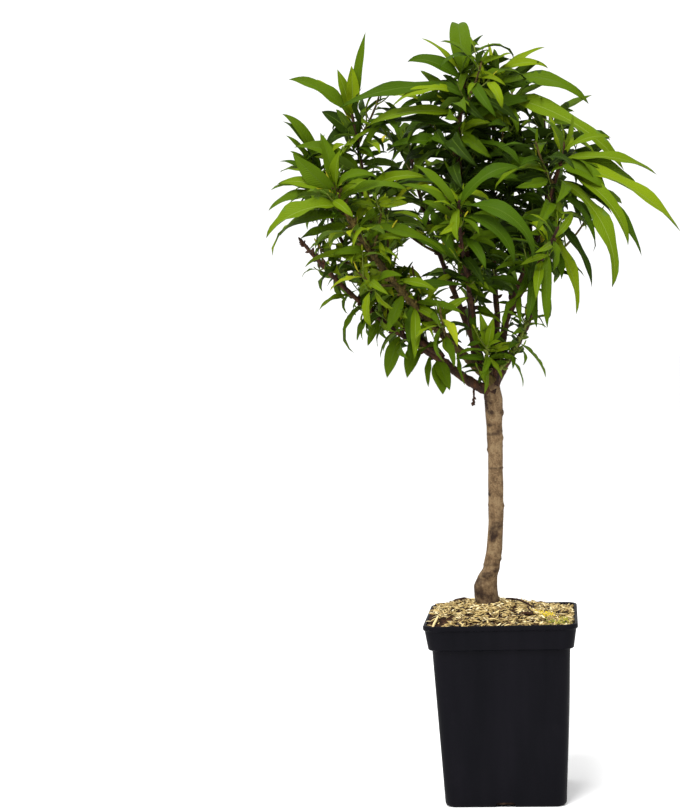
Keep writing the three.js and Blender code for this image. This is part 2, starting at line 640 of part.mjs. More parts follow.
// The mulch is the inside of the pot's top, trimmed by a disc whose upper face follows the mulch's level in
// rings that close in on the trunk.
function makeMulch() {
  const block = potInside(GAP, MIX_TOP + GAP, MULCH.mound + 1);
  const under = MIX_TOP - 1;
  const outer = POT.rim; // past the pot's corners
  const inner = MULCH.flat * 0.6;
  const steps = MULCH.rings + 1;
  const top = reshaped(MULCH.sides, steps, (along, x, z) => {
    const ring = Math.round(along * steps);
    if (ring === 0) return new THREE.Vector3(x * outer, -z * outer, under);
    const share = (ring - 1) / MULCH.rings;
    const reach = mix(outer, inner, share);
    const px = TRUNK.foot.x * share + x * reach;
    const py = TRUNK.foot.y * share - z * reach;
    return new THREE.Vector3(px, py, mulchLevel(px, py));
  });
  return block.intersect(top);
}

// ---------------------------------------------------------------- trunk and boughs

function makeTrunk(extra = 0) {
  const steps = TRUNK.rings.length - 1;
  return reshaped(TRUNK.sides, steps, (along, x, z) => {
    const { up, right, radius } = TRUNK.rings[Math.round(along * steps)];
    const reach = radius + extra;
    const below = along === 0 ? extra : 0;
    const above = along === 1 ? extra : 0;
    return new THREE.Vector3(right + x * reach, -z * reach, up - below + above).add(TRUNK.foot);
  });
}

// Each bough is cut back from the trunk and from the boughs made before it.
function makeBoughs() {
  const made = {};
  let keepClear = makeTrunk(GAP);
  for (const [name, shape] of Object.entries(BOUGHS)) {
    made[name] = largest(tube(shape, LIMB_SIDES, LIMB_STEPS).subtract(keepClear));
    keepClear = keepClear.add(tube(shape, LIMB_SIDES, LIMB_STEPS, GAP));
  }
  const bud = new THREE.OctahedronGeometry(DEAD_BUD).translate(...DEAD_SPUR.points[3]);
  const spur = tube(DEAD_SPUR, STEM.sides, TWIG.steps).add(solidOf(bud));
  made.dead_spur = largest(spur.subtract(keepClear));
  keepClear = keepClear.add(made.dead_spur);
  return { made, keepClear };
}

// ---------------------------------------------------------------- the rule of growth

// The twigs of a mass branch from its stem at even steps, turn round it and bend up to the light.
function twigsOf(mass, massIndex) {
  const { count = 0, from, to, long, turn, leaves = TWIG.leaves } = mass.twigs ?? {};
  const stem = curveOf(mass.stem);
  const twigs = [];
  for (let k = 0; k < count; k++) {
    const share = count > 1 ? k / (count - 1) : 0;
    const at = mix(from, to, share);
    const root = stem.getPoint(at);
    const along = stem.getTangent(at);
    const { right, back } = sectionOf(along);
    const angle = radians(turn + k * TWIG.turn);
    const out = right.clone().multiplyScalar(Math.cos(angle)).addScaledVector(back, Math.sin(angle));
    const opening = radians(TWIG.angle);
    const heading = along.clone().multiplyScalar(Math.cos(opening)).addScaledVector(out, Math.sin(opening));
    const length = long * mix(1, TWIG.shrink, share) * mix(...TWIG.stray, chance(massIndex, k, TWIG_USE));
    const [low, middle, tip] = TWIG.way.map((way) => root.clone().addScaledVector(heading, length * way));
    tip.z += length * TWIG.rise;
    const shape = limb(...[root, low, middle, tip].map((p) => p.toArray()), TWIG.radius, TWIG.tip);
    const leafTurn = turn + TWIG.leafTurn * k;
    twigs.push({ shape, leaves, from: TWIG.from, to: TWIG.to, turn: leafTurn, size: TWIG.leafSize });
  }
  return twigs;
}

// The two directions across a limb that leaves are counted from.
function sectionOf(along) {
  const right = new THREE.Vector3(1, 0, 0);
  right.addScaledVector(along, -right.dot(along)).normalize();
  return { right, back: new THREE.Vector3().crossVectors(along, right) };
}

// The upper face of a leaf turns up, away from the middle of the crown, and to the tip of its twig.
function faceFor(heading, root, along) {
  const face = new THREE.Vector3(root.x - CROWN.x, root.y - CROWN.y, 0).normalize();
  face.multiplyScalar(LEAF.faces.out).addScaledVector(along, LEAF.faces.along);
  face.z += LEAF.faces.up;
  return face.addScaledVector(heading, -face.dot(heading)).normalize();
}

// Whether a leaf would close an opening of the crown.
function closesOpening(leaf) {
  const { front, back } = OPENING_ENDS;
  return LEAF.tested.some((s) => {
    const { x, y, z } = midrib(leaf, s).middle;
    const share = (y - front) / (back - front);
    return OPENINGS.some((opening) => {
      const across = (x - mix(opening.front[0], opening.back[0], share)) / opening.wide;
      const above = (z - mix(opening.front[1], opening.back[1], share)) / opening.high;
      return Math.hypot(across, above) < 1;
    });
  });
}

// The leaves of a shoot in a spiral: the youngest are short and close to the tip, and the older ones stand
// out and hang over. Each returned item holds the same leaf turned as LEAF.tries says, or nothing where the
// leaf would close an opening or hide a bare front.
function spiralLeaves(shoot, mass, seed) {
  const { prime, stray } = LEAF;
  const curve = curveOf(shoot.shape);
  const found = [];
  for (let i = 0; i < shoot.leaves; i++) {
    const within = ([low, high], use) => mix(low, high, chance(seed, i, use));
    const about = (most, use) => within([-most, most], use);
    const age = 1 - i / Math.max(1, shoot.leaves - 1);
    const at = mix(shoot.from, shoot.to, Math.pow(1 - age, LEAF.crowding));
    const root = curve.getPoint(at);
    const along = curve.getTangent(at);
    const { right, back } = sectionOf(along);
    const young = mix(LEAF.youngest, 1, Math.pow(Math.min(1, age / prime), 0.7));
    const grown = young * mix(1, LEAF.oldest, Math.max(0, age - prime) / (1 - prime));
    const length = mass.long * shoot.size * grown * within(stray.length, 0);
    const width = length * (mass.wide ?? LEAF.wide) * within(stray.width, 5);
    const opened = Math.min(1, age * LEAF.opening);
    const open = radians(mix(LEAF.tipAngle, LEAF.sideAngle, opened) + about(stray.angle, 1));
    const bent = Math.min(1, age * LEAF.bending);
    const droop = radians(mix(LEAF.tipDroop, mass.droop, bent) * within(stray.droop, 2));
    const turn = shoot.turn + i * LEAF.turn + about(stray.turn, 3);
    const roll = radians(about(stray.roll, 4));
    const veer = about(LEAF.veer, 6);
    const tries = LEAF.tries.map((more) => {
      const angle = radians(turn + more);
      const out = right.clone().multiplyScalar(Math.cos(angle)).addScaledVector(back, Math.sin(angle));
      const heading = along.clone().multiplyScalar(Math.cos(open)).addScaledVector(out, Math.sin(open));
      heading.z += LEAF.lift;
      heading.normalize();
      const face = faceFor(heading, root, along).applyAxisAngle(heading, roll);
      return { root, heading, face, length, width, droop, veer };
    });
    const front = shoot.bare && shoot.bare[0] < at && at < shoot.bare[1];
    const hidesWood = front && -tries[0].heading.y > LEAF.forward;
    found.push(hidesWood || closesOpening(tries[0]) ? [] : tries);
  }
  return found;
}

// A leaf on the crown's outline, from its reach: the heading is turned up by half of the droop.
function outlineLeaf({ at, reach, droop: bend, wide, roll }, mass) {
  const curve = curveOf(mass.stem);
  const chord = new THREE.Vector3(...reach);
  const droop = radians(bend);
  const straight = chord.clone().normalize();
  const root = curve.getPoint(at);
  const face = faceFor(straight, root, curve.getTangent(at)).applyAxisAngle(straight, radians(roll));
  const half = { cos: Math.cos(droop / 2), sin: Math.sin(droop / 2) };
  const heading = straight.clone().multiplyScalar(half.cos).addScaledVector(face, half.sin);
  const turned = face.multiplyScalar(half.cos).addScaledVector(straight, -half.sin);
  const length = (chord.length() * droop) / 2 / half.sin;
  const width = length * (wide ?? mass.wide ?? LEAF.wide);
  return { root, heading, face: turned, length, width, droop, veer: 0 };
}

// The midrib is an arc: s runs from 0 at the root to 1 at the tip.
function midrib(leaf, s) {
  const sin = Math.sin(leaf.droop * s);
  const cos = Math.cos(leaf.droop * s);
  const side = new THREE.Vector3().crossVectors(leaf.heading, leaf.face);
  const middle = leaf.root
    .clone()
    .addScaledVector(leaf.heading, (leaf.length * sin) / leaf.droop)
    .addScaledVector(leaf.face, (-leaf.length * (1 - cos)) / leaf.droop)
    .addScaledVector(side, leaf.veer * leaf.length * s * s);
  const face = leaf.face.clone().multiplyScalar(cos).addScaledVector(leaf.heading, sin);
  return { middle, side, face };
}

// A leaf is a keeled blade, pointed at both ends and three-sided between them. extra makes it larger.
function leafSolid(leaf, extra = 0) {
  const kind = leaf.length < LEAF.short ? "short" : "long";
  const bends = LEAF.bends[kind];
  const steps = bends.length - 1;
  const place = (along, x, z) => {
    const bend = Math.round(along * steps);
    const { middle, side, face } = midrib(leaf, bends[bend]);
    const half = LEAF.breadth[kind][bend] * (leaf.width / 2 + extra);
    if (half === 0) return middle;
    if (z > 0.5) return middle.addScaledVector(face, -leaf.length * LEAF.thick - extra);
    const rise = half * LEAF.fold + extra;
    return middle.addScaledVector(side, -Math.sign(x) * half).addScaledVector(face, rise);
  };
  return reshaped(3, steps, place, true);
}

// ---------------------------------------------------------------- the masses

// Solids that later twigs and leaves keep clear of, each with its box for a quick first test.
const placed = [];
function keep(solid, owner, kind) {
  placed.push({ solid, owner, kind, box: solid.boundingBox() });
}

function boxesMeet(a, b) {
  return [0, 1, 2].every((i) => a.min[i] <= b.max[i] && a.max[i] >= b.min[i]);
}

// Whether a solid touches nothing but the kinds that it may meet in its own mass.
function hasRoom(probe, owner, mayMeet) {
  const box = probe.boundingBox();
  return placed.every(
    (other) =>
      (other.owner === owner && mayMeet.includes(other.kind)) ||
      !boxesMeet(box, other.box) ||
      probe.intersect(other.solid).isEmpty(),
  );
}

// Adds the first of the tried leaves that has room, if any.
function growLeaf(m, tries, mayMeet) {
  const leaf = tries.find((one) => hasRoom(leafSolid(one, 2 * GAP), m.name, mayMeet));
  if (!leaf) return;
  const solid = leafSolid(leaf);
  m.parts.push(solid);
  keep(solid, m.name, "leaf");
}

// Stems first, each cut back from the limbs and from the stems before it, then the twigs that have room.
function growWood(masses, keepClear) {
  let wood = keepClear;
  for (const m of masses) {
    const { stem: shape, leaves, from, to, turn, bare } = m.mass;
    const stem = largest(tube(shape, STEM.sides, STEM.steps).subtract(wood));
    wood = wood.add(tube(shape, STEM.sides, STEM.steps, GAP));
    m.parts.push(stem);
    m.shoots.push({ shape, leaves, from, to, turn, bare, size: 1 });
    keep(stem, m.name, "wood");
  }
  for (const m of masses) {
    for (const twig of twigsOf(m.mass, m.index)) {
      if (!hasRoom(tube(twig.shape, TWIG.sides, TWIG.steps, 2 * GAP), m.name, ["wood"])) continue;
      const solid = tube(twig.shape, TWIG.sides, TWIG.steps);
      m.parts.push(solid);
      m.shoots.push(twig);
      keep(solid, m.name, "wood");
    }
  }
}

// The leaves of the outline first, then the spirals turn by turn, so that no mass crowds out the next. Only a
// leaf of the outline may cross other leaves, and only those of its own mass.
function growLeaves(masses) {
  for (const m of masses) {
    for (const line of m.mass.outline ?? []) growLeaf(m, [outlineLeaf(line, m.mass)], ["wood", "leaf"]);
  }
  const waiting = masses.flatMap((m) =>
    m.shoots.map((shoot, k) => ({
      m,
      leaves: spiralLeaves(shoot, m.mass, m.index * SHOOTS_PER_MASS + k).reverse(),
    })),
  );
  for (let round = 0; waiting.some((w) => w.leaves.length > round); round++) {
    for (const w of waiting) if (w.leaves[round]) growLeaf(w.m, w.leaves[round], ["wood"]);
  }
}

function makeMasses(keepClear) {
  const potBlock = [0, MULCH.mound].map((z) => ({ z, width: POT.rim, corner: POT.corner }));
  keep(squareLoft(potBlock), "pot", "wood");
  keep(keepClear, "limbs", "wood");
  const masses = Object.entries(MASSES).map(([name, mass], index) => {
    return { name, mass, index, parts: [], shoots: [] };
  });
  growWood(masses, keepClear);
  growLeaves(masses);
  return masses.map((m) => [m.name, largest(wasm.Manifold.union(m.parts))]);
}

// ---------------------------------------------------------------- the whole tree

const tree = new THREE.Group();
tree.add(node("pot", makePot(), COLOURS.pot));
tree.add(node("growing_mix", makeMix(), COLOURS.growing_mix));
tree.add(node("mulch", makeMulch(), COLOURS.mulch));
tree.add(node("trunk", makeTrunk(), COLOURS.trunk));
const { made: boughs, keepClear } = makeBoughs();
for (const [name, solid] of Object.entries(boughs)) tree.add(node(name, solid, COLOURS.bough));
for (const [name, solid] of makeMasses(keepClear)) tree.add(node(name, solid, COLOURS.leaf));

export default tree;
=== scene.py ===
"""Looks of a dwarf peach tree in a square nursery pot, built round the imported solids.

Sizes in the dataclasses are millimetres, as on a drawing. They become metres where a mesh is made.
The crown is grown by the same seeded rule as the solids, and goes on to finer sprigs in the same space.
"""

import logging
import math
from dataclasses import dataclass, field, replace
from enum import Enum
from typing import Callable, Iterable, Sequence

import bmesh
import bpy
import numpy as np
from mathutils import Matrix, Quaternion, Vector, noise
from mathutils.bvhtree import BVHTree


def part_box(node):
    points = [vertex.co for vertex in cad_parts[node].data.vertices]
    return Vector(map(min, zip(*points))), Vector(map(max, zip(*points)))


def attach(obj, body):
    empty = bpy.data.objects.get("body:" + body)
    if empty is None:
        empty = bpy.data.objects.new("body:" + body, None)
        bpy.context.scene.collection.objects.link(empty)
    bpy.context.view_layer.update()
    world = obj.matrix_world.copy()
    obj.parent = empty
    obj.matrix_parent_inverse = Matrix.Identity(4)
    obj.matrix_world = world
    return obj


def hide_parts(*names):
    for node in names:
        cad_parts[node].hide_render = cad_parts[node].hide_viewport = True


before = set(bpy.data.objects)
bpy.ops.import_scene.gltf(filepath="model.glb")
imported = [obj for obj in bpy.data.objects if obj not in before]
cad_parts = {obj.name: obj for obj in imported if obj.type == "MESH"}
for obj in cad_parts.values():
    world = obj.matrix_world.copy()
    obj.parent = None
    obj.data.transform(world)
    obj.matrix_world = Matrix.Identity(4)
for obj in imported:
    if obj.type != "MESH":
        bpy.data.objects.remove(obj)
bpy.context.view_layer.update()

MM = 0.001
BODY = "root"
GLOSS = "Specular IOR Level"
log = logging.getLogger("peach_tree")

Pair = tuple[float, float]
Triple = tuple[float, float, float]
Arrays = dict[str, np.ndarray]
Mesh = bpy.types.Mesh
Piece = bpy.types.Object
Tree = bpy.types.NodeTree
Source = bpy.types.Node | bpy.types.NodeSocket | float | Sequence[float] | str


# ---------------------------------------------------------------- numbers

WORD = 2**32 - 1  # the low 32 bits


def mix(low: float, high: float, share: float) -> float:
    """Returns the value that lies this share of the way from low to high."""
    return low + (high - low) * share


def limited(value: float, low: float = 0.0, high: float = 1.0) -> float:
    """Returns the value, kept between two bounds."""
    return max(low, min(high, value))


def chance(shoot: int, leaf: int, use: int) -> float:
    """Gives a fixed scatter of numbers, the same each time and the same as in the solids.

    Args:
        shoot: number of the shoot.
        leaf: number of the leaf on it.
        use: what the number is for.

    Returns:
        A number from 0 to 1.
    """
    mixed = 0
    for number, factor in ((shoot, 0x9E3779B1), (leaf, 0x85EBCA6B), (use, 0xC2B2AE35)):
        mixed ^= (number + 1) * factor & WORD
    for shift, factor in ((15, 0x2C1B3C6D), (12, 0x297A2D39)):
        mixed = (mixed ^ mixed >> shift) * factor & WORD
    return (mixed ^ mixed >> 15) / 2**32


def linear(code: str) -> tuple[float, float, float, float]:
    """Turns an sRGB hex colour into the linear colour that a shader takes.

    Args:
        code: six hex digits.

    Returns:
        Linear red, green, blue and an alpha of 1.
    """
    parts = [int(code[i : i + 2], 16) / 255 for i in (0, 2, 4)]
    r, g, b = [p / 12.92 if p <= 0.04045 else ((p + 0.055) / 1.055) ** 2.4 for p in parts]
    return (r, g, b, 1.0)


# ---------------------------------------------------------------- finishes


def feed(tree: Tree, node: bpy.types.Node, inputs: dict[str | int, Source]) -> None:
    """Gives a node's inputs their links and values.

    Args:
        tree: the material's node tree.
        node: the node.
        inputs: for each input, by name or number, a node whose first output feeds it, an output, a value
            or a hex colour.
    """
    for key, source in inputs.items():
        if isinstance(source, bpy.types.Node):
            source = source.outputs[0]
        if isinstance(source, bpy.types.NodeSocket):
            tree.links.new(source, node.inputs[key])
        else:
            node.inputs[key].default_value = linear(source) if isinstance(source, str) else source


def add_node(tree: Tree, kind: str, inputs: dict[str | int, Source] | Sequence[Source] = (),
             stops: Iterable[tuple[float, str]] = (), **settings: str) -> bpy.types.Node:
    """Adds one node with its settings and what comes into it.

    Args:
        tree: the material's node tree.
        kind: the node's type.
        inputs: what feeds the inputs, as feed takes it, or in the order of the inputs.
        stops: for a colour ramp, places from 0 to 1 with their hex colours.
        **settings: the node's own settings.

    Returns:
        The new node.
    """
    made = tree.nodes.new("ShaderNode" + kind)
    for key, value in settings.items():
        setattr(made, key, value)
    feed(tree, made, inputs if isinstance(inputs, dict) else dict(enumerate(inputs)))
    for i, (place, code) in enumerate(stops):
        elements = made.color_ramp.elements
        stop = elements[i] if i < len(elements) else elements.new(place)
        stop.position, stop.color = place, linear(code)
    return made


@dataclass(frozen=True)
class Finish:
    """A finish, named for the stuff and how its surface was made."""

    name: str

    def material(self) -> bpy.types.Material:
        """Makes the finish a material.

        Returns:
            The material.
        """
        made = bpy.data.materials.new(self.name)
        made.use_nodes = True
        tree = made.node_tree
        place = add_node(tree, "TexCoord").outputs["Object"]
        feed(tree, tree.nodes["Principled BSDF"], self.shader(tree, place))
        return made

    def shader(self, tree: Tree, place: Source) -> dict[str, Source]:
        """Draws the surface.

        Args:
            tree: the material's node tree.
            place: the place on the piece, in metres.

        Returns:
            What feeds each input of the shader.
        """
        raise NotImplementedError


# Moulding leaves a satin skin: wide soft highlights, faint upright drag lines and a bloom of dust.
@dataclass(frozen=True)
class MouldedPolypropylene(Finish):
    """Black recycled polypropylene, injection moulded: satin, with the faint drag marks of the mould."""

    name: str = "moulded_black_polypropylene"
    dark: str = "06060a"
    light: str = "0c0b10"
    dust: str = "1d1b20"
    roughness: Pair = (0.42, 0.62)
    gloss: float = 0.05
    grain: float = 0.9  # mm, drawn coarser than the mould's own, to show at all
    streak: float = 22.0  # mm
    smudge: float = 1000 / 24  # mm

    def shader(self, tree: Tree, place: Source) -> dict[str, Source]:
        """Draws the streaks and the dusty smudges, over a fine grain.

        Args:
            tree: the material's node tree.
            place: the place on the piece, in metres.

        Returns:
            What feeds each input of the shader.
        """
        drawn = add_node(tree, "Mapping", {"Vector": place, "Scale": (1.0, 1.0, 0.12)})
        streaks = add_node(
            tree, "TexNoise", {"Vector": drawn, "Scale": 1 / (self.streak * MM), "Detail": 5.0})
        body = add_node(tree, "ValToRGB", [streaks], ((0.3, self.dark), (0.75, self.light)))
        smudges = add_node(tree, "TexNoise", {
            "Vector": place, "Scale": 1 / (self.smudge * MM), "Detail": 8.0, "Roughness": 0.7})
        dusty = add_node(tree, "MapRange", [smudges, 0.58, 0.85, 0.0, 0.22])
        colour = add_node(tree, "Mix", {0: dusty, 6: body, 7: self.dust}, data_type="RGBA")
        rough = add_node(tree, "MapRange", [smudges, 0.3, 0.7, *self.roughness])
        fine = add_node(tree, "TexNoise", {"Vector": place, "Scale": 1 / (self.grain * MM), "Detail": 2.0})
        wavy = add_node(tree, "Math", [fine, streaks], operation="ADD")
        bump = add_node(tree, "Bump", {"Height": wavy, "Strength": 0.25, "Distance": 0.3 * MM})
        return {"Base Color": colour.outputs[2], "Roughness": rough, "Normal": bump, "IOR": 1.49,
                GLOSS: self.gloss}


# Crumbs scatter light every way: no sheen at all, and every grain has its own lit and dark side.
@dataclass(frozen=True)
class Loose(Finish):
    """A crumbled or fibrous stuff, such as potting mix or moss: matt, with grains in several tones."""

    tones: tuple[str, str, str]
    grain: float  # mm
    depth: float = 0.8  # mm
    roughness: float = 0.95
    gloss: float = 0.1

    def shader(self, tree: Tree, place: Source) -> dict[str, Source]:
        """Draws a cloud of tones over raised grains.

        Args:
            tree: the material's node tree.
            place: the place on the piece, in metres.

        Returns:
            What feeds each input of the shader.
        """
        grains = add_node(tree, "TexVoronoi", {"Vector": place, "Scale": 1 / (self.grain * MM)})
        cloud = add_node(tree, "TexNoise", {"Vector": place, "Scale": 0.5 / (self.grain * MM), "Detail": 6.0})
        colour = add_node(tree, "ValToRGB", [cloud], zip((0.34, 0.52, 0.68), self.tones))
        bump = add_node(tree, "Bump", {"Height": grains, "Strength": 0.8, "Distance": self.depth * MM})
        return {"Base Color": colour, "Normal": bump, "Roughness": self.roughness, GLOSS: self.gloss}


# Dried, split or grown fibre has one clear colour, and a dull sheen that its grain breaks up.
@dataclass(frozen=True)
class Plain(Finish):
    """A small thing with one body colour of its own, such as a husk or a blade: its relief and gloss vary."""

    colour: str
    roughness: Pair = (0.6, 0.85)
    grain: float = 1.2  # mm, drawn coarser than real fibre, to show at all
    depth: float = 0.15  # mm
    ior: float = 1.45
    gloss: float = 0.5

    def shader(self, tree: Tree, place: Source) -> dict[str, Source]:
        """Draws the body colour with a fine grain in its relief and gloss.

        Args:
            tree: the material's node tree.
            place: the place on the piece, in metres.

        Returns:
            What feeds each input of the shader.
        """
        grain = add_node(tree, "TexNoise", {"Vector": place, "Scale": 1 / (self.grain * MM), "Detail": 3.0})
        rough = add_node(tree, "MapRange", [grain, 0.3, 0.7, *self.roughness])
        bump = add_node(
            tree, "Bump", {"Height": self.relief(tree, grain), "Strength": 0.5, "Distance": self.depth * MM})
        return {"Base Color": self.colour, "IOR": self.ior, GLOSS: self.gloss, "Roughness": rough,
                "Normal": bump}

    def relief(self, tree: Tree, grain: bpy.types.Node) -> Source:
        """Returns what the bump reads."""
        return grain


# Wax gives a leaf a low, wide sheen, which the veins break into fine slanting lines.
@dataclass(frozen=True)
class LeafBlade(Plain):
    """Upper side of a peach leaf: waxy, with side veins that run forward from the midrib."""

    veins: float = 22.0  # pairs on a leaf
    slant: float = 5.0  # how far forward a vein runs, in veins

    def relief(self, tree: Tree, grain: bpy.types.Node) -> Source:
        """Draws the veins' height, from the leaf's own map: across in U and along in V.

        Args:
            tree: the material's node tree.
            grain: the fine grain of the surface.

        Returns:
            What the bump reads.
        """
        parts = add_node(tree, "SeparateXYZ", [add_node(tree, "UVMap", uv_map="leaf")])
        side = add_node(tree, "Math", [parts.outputs["X"], 0.5], operation="SUBTRACT")
        away = add_node(tree, "Math", [side], operation="ABSOLUTE")
        back = add_node(tree, "Math", [away, -2 * self.slant], operation="MULTIPLY")
        row = add_node(tree, "Math", [parts.outputs["Y"], self.veins, back], operation="MULTIPLY_ADD")
        turn = add_node(tree, "Math", [row, 2 * math.pi], operation="MULTIPLY")
        wave = add_node(tree, "Math", [turn], operation="SINE")
        return add_node(tree, "Math", [wave, grain], operation="ADD")


# Bark that has grown by stretching is matt: drawn-out clouds of brown, pale pores across, dark scars.
@dataclass(frozen=True)
class Bark(Finish):
    """Young stone-fruit bark: smooth between rows of lenticels, and stained dark at scars and the foot."""

    ground: tuple[str, str, str]
    stain: str
    pale: str
    stretch: float = 0.3  # scale along the limb, so under 1 the pattern is drawn out
    cloud: float = 9.0  # mm
    lenticel: float = 3.2  # mm
    fleck: float = 0.3  # most that the fine flecks darken
    fleck_size: float = 1.7  # mm, drawn coarser than real, to show at all
    roughness: float = 0.82
    gloss: float = 0.2

    def shader(self, tree: Tree, place: Source) -> dict[str, Source]:
        """Draws brown clouds under pale lenticels, stained where the attribute says, with fine flecks.

        Args:
            tree: the material's node tree.
            place: the place on the piece, in metres.

        Returns:
            What feeds each input of the shader.
        """
        drawn = add_node(tree, "Mapping", {"Vector": place, "Scale": (1.0, 1.0, self.stretch)})
        cloud = add_node(tree, "TexNoise", {
            "Vector": drawn, "Scale": 1 / (self.cloud * MM), "Detail": 8.0, "Roughness": 0.65})
        ground = add_node(tree, "ValToRGB", [cloud], zip((0.34, 0.5, 0.64), self.ground))
        flat = add_node(tree, "Mapping", {"Vector": place, "Scale": (1.0, 1.0, 3.2)})
        cells = add_node(tree, "TexVoronoi", {"Vector": flat, "Scale": 1 / (self.lenticel * MM)})
        spots = add_node(tree, "MapRange", [cells, 0.12, 0.34, 0.75, 0.0])
        gate = add_node(
            tree, "TexNoise", {"Vector": flat, "Scale": 0.4 / (self.lenticel * MM), "Detail": 1.0})
        some = add_node(tree, "MapRange", [gate, 0.48, 0.6, 0.0, 1.0])
        shown = add_node(tree, "Math", [spots, some], operation="MULTIPLY")
        dotted = add_node(tree, "Mix", {0: shown, 6: ground, 7: self.pale}, data_type="RGBA")
        marks = add_node(tree, "Attribute", attribute_name="stain").outputs["Fac"]
        patchy = add_node(tree, "MapRange", [cloud, 0.62, 0.4, 0.5, 1.0])
        scars = add_node(tree, "Math", [marks, patchy], operation="MULTIPLY")
        fine = add_node(
            tree, "TexNoise", {"Vector": place, "Scale": 1 / (self.fleck_size * MM), "Detail": 3.0})
        flecks = add_node(tree, "MapRange", [fine, 0.5, 0.68, 0.0, self.fleck])
        strong = add_node(tree, "Math", [scars, flecks], operation="MAXIMUM")
        stained = add_node(
            tree, "Mix", {0: strong, 6: dotted.outputs[2], 7: self.stain}, data_type="RGBA")
        relief = add_node(tree, "Math", [cloud, shown], operation="ADD")
        bump = add_node(tree, "Bump", {"Height": relief, "Strength": 0.7, "Distance": 0.8 * MM})
        return {"Base Color": stained.outputs[2], "Normal": bump, "Roughness": self.roughness,
                GLOSS: self.gloss}


class Tone(Enum):
    """Colours of the leaves, from the darkest, mostly painted shade deep in the crown, to the growing tips.
    """

    DEEP = "131d02"
    SHADED = "203004"
    MATURE = "314703"
    FULL = "405504"
    FRESH = "516506"
    LIGHT = "607208"
    YOUNG = "788212"
    YELLOW = "9e9620"


class Rib(Enum):
    """Colours of the midribs."""

    GREEN = "3f5210"
    PALE = "64742c"


class Under(Enum):
    """Colours of the leaves' undersides."""

    GREY = "2e400e"
    LIGHT = "4c621a"


class Wood(Enum):
    """Bark of the limbs by age, each with its slot."""

    OLD = 0
    GREENING = 1
    YOUNG = 2


BARKS = (
    Bark("bough_bark_brown", ("170c05", "2e1a0d", "4a2d18"), "110804", "6a4a30", cloud=6.0, lenticel=2.6),
    Bark("bough_bark_greening", ("201804", "3f3310", "5f4f22"), "160f04", "786839", cloud=5.0, lenticel=2.4),
    Bark("shoot_bark_green", ("3c4612", "505c18", "68702a"), "32210f", "858a4c", cloud=5.0, lenticel=2.2),
)
TRUNK_BARK = Bark(
    "trunk_bark_tan", ("463420", "655037", "776347"), "22140a", "947f5e", stretch=0.85, cloud=7.0, fleck=0.4
)


def dressed(finishes: Iterable[Finish]) -> list[bpy.types.Material]:
    """Returns the finishes as materials, in their order."""
    return [finish.material() for finish in finishes]


# ---------------------------------------------------------------- pieces


def put(name: str, data: bpy.types.ID) -> Piece:
    """Puts a new object in the scene.

    Args:
        name: its name.
        data: its mesh, camera or lamp.

    Returns:
        The object.
    """
    made = bpy.data.objects.new(name, data)
    bpy.context.scene.collection.objects.link(made)
    return made


def settle(name: str, mesh: Mesh, materials: Iterable[bpy.types.Material],
           nodes: Sequence[str] = ()) -> Piece:
    """Makes a finished mesh a piece of the tree.

    Args:
        name: the piece's name.
        mesh: the mesh, in metres and in place.
        materials: the mesh's materials, in the order of its slots.
        nodes: the solids that the piece stands for.

    Returns:
        The piece's object.
    """
    mesh.name = name
    for i, material in enumerate(materials):
        if i < len(mesh.materials):
            mesh.materials[i] = material
        else:
            mesh.materials.append(material)
    made = put(name, mesh)
    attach(made, BODY)
    if nodes:
        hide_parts(*nodes)
    mesh.calc_loop_triangles()
    log.info("%s: %d triangles", name, len(mesh.loop_triangles))
    return made


def loft(segments: int, levels: int, place: Callable[[int, int], Vector]) -> bmesh.types.BMesh:
    """Draws a closed ring up through levels, and closes both ends.

    Args:
        segments: corners of the ring.
        levels: number of rings, the first among them.
        place: gives the point for a level and a corner of the ring.

    Returns:
        The closed body, with its faces outwards.
    """
    bm = bmesh.new()
    spot = bm.verts.layers.int.new("spot")
    bmesh.ops.create_circle(bm, cap_ends=True, radius=1.0, segments=segments)
    for i, vert in enumerate(bm.verts):
        vert[spot] = i
        vert.co = place(0, i)
    edges = list(bm.edges)
    for level in range(1, levels):
        grown = bmesh.ops.extrude_edge_only(bm, edges=edges)["geom"]
        edges = [g for g in grown if isinstance(g, bmesh.types.BMEdge)]
        for vert in (g for g in grown if isinstance(g, bmesh.types.BMVert)):
            vert.co = place(level, vert[spot])
    bmesh.ops.contextual_create(bm, geom=edges)
    bmesh.ops.recalc_face_normals(bm, faces=bm.faces)
    return bm


def to_mesh(bm: bmesh.types.BMesh, name: str, angle: float | None = None) -> Mesh:
    """Turns a bmesh into a smooth mesh.

    Args:
        bm: the body, which is freed.
        name: the mesh's name.
        angle: edges sharper than this many degrees stay crisp.

    Returns:
        The mesh.
    """
    mesh = bpy.data.meshes.new(name)
    bm.to_mesh(mesh)
    bm.free()
    smooth(mesh, angle)
    return mesh


def smooth(mesh: Mesh, angle: float | None = None) -> None:
    """Shades a mesh smooth.

    Args:
        mesh: the mesh.
        angle: edges sharper than this many degrees stay crisp.
    """
    mesh.polygons.foreach_set("use_smooth", np.ones(len(mesh.polygons), dtype=bool))
    if angle is not None:
        mesh.set_sharp_from_angle(angle=math.radians(angle))


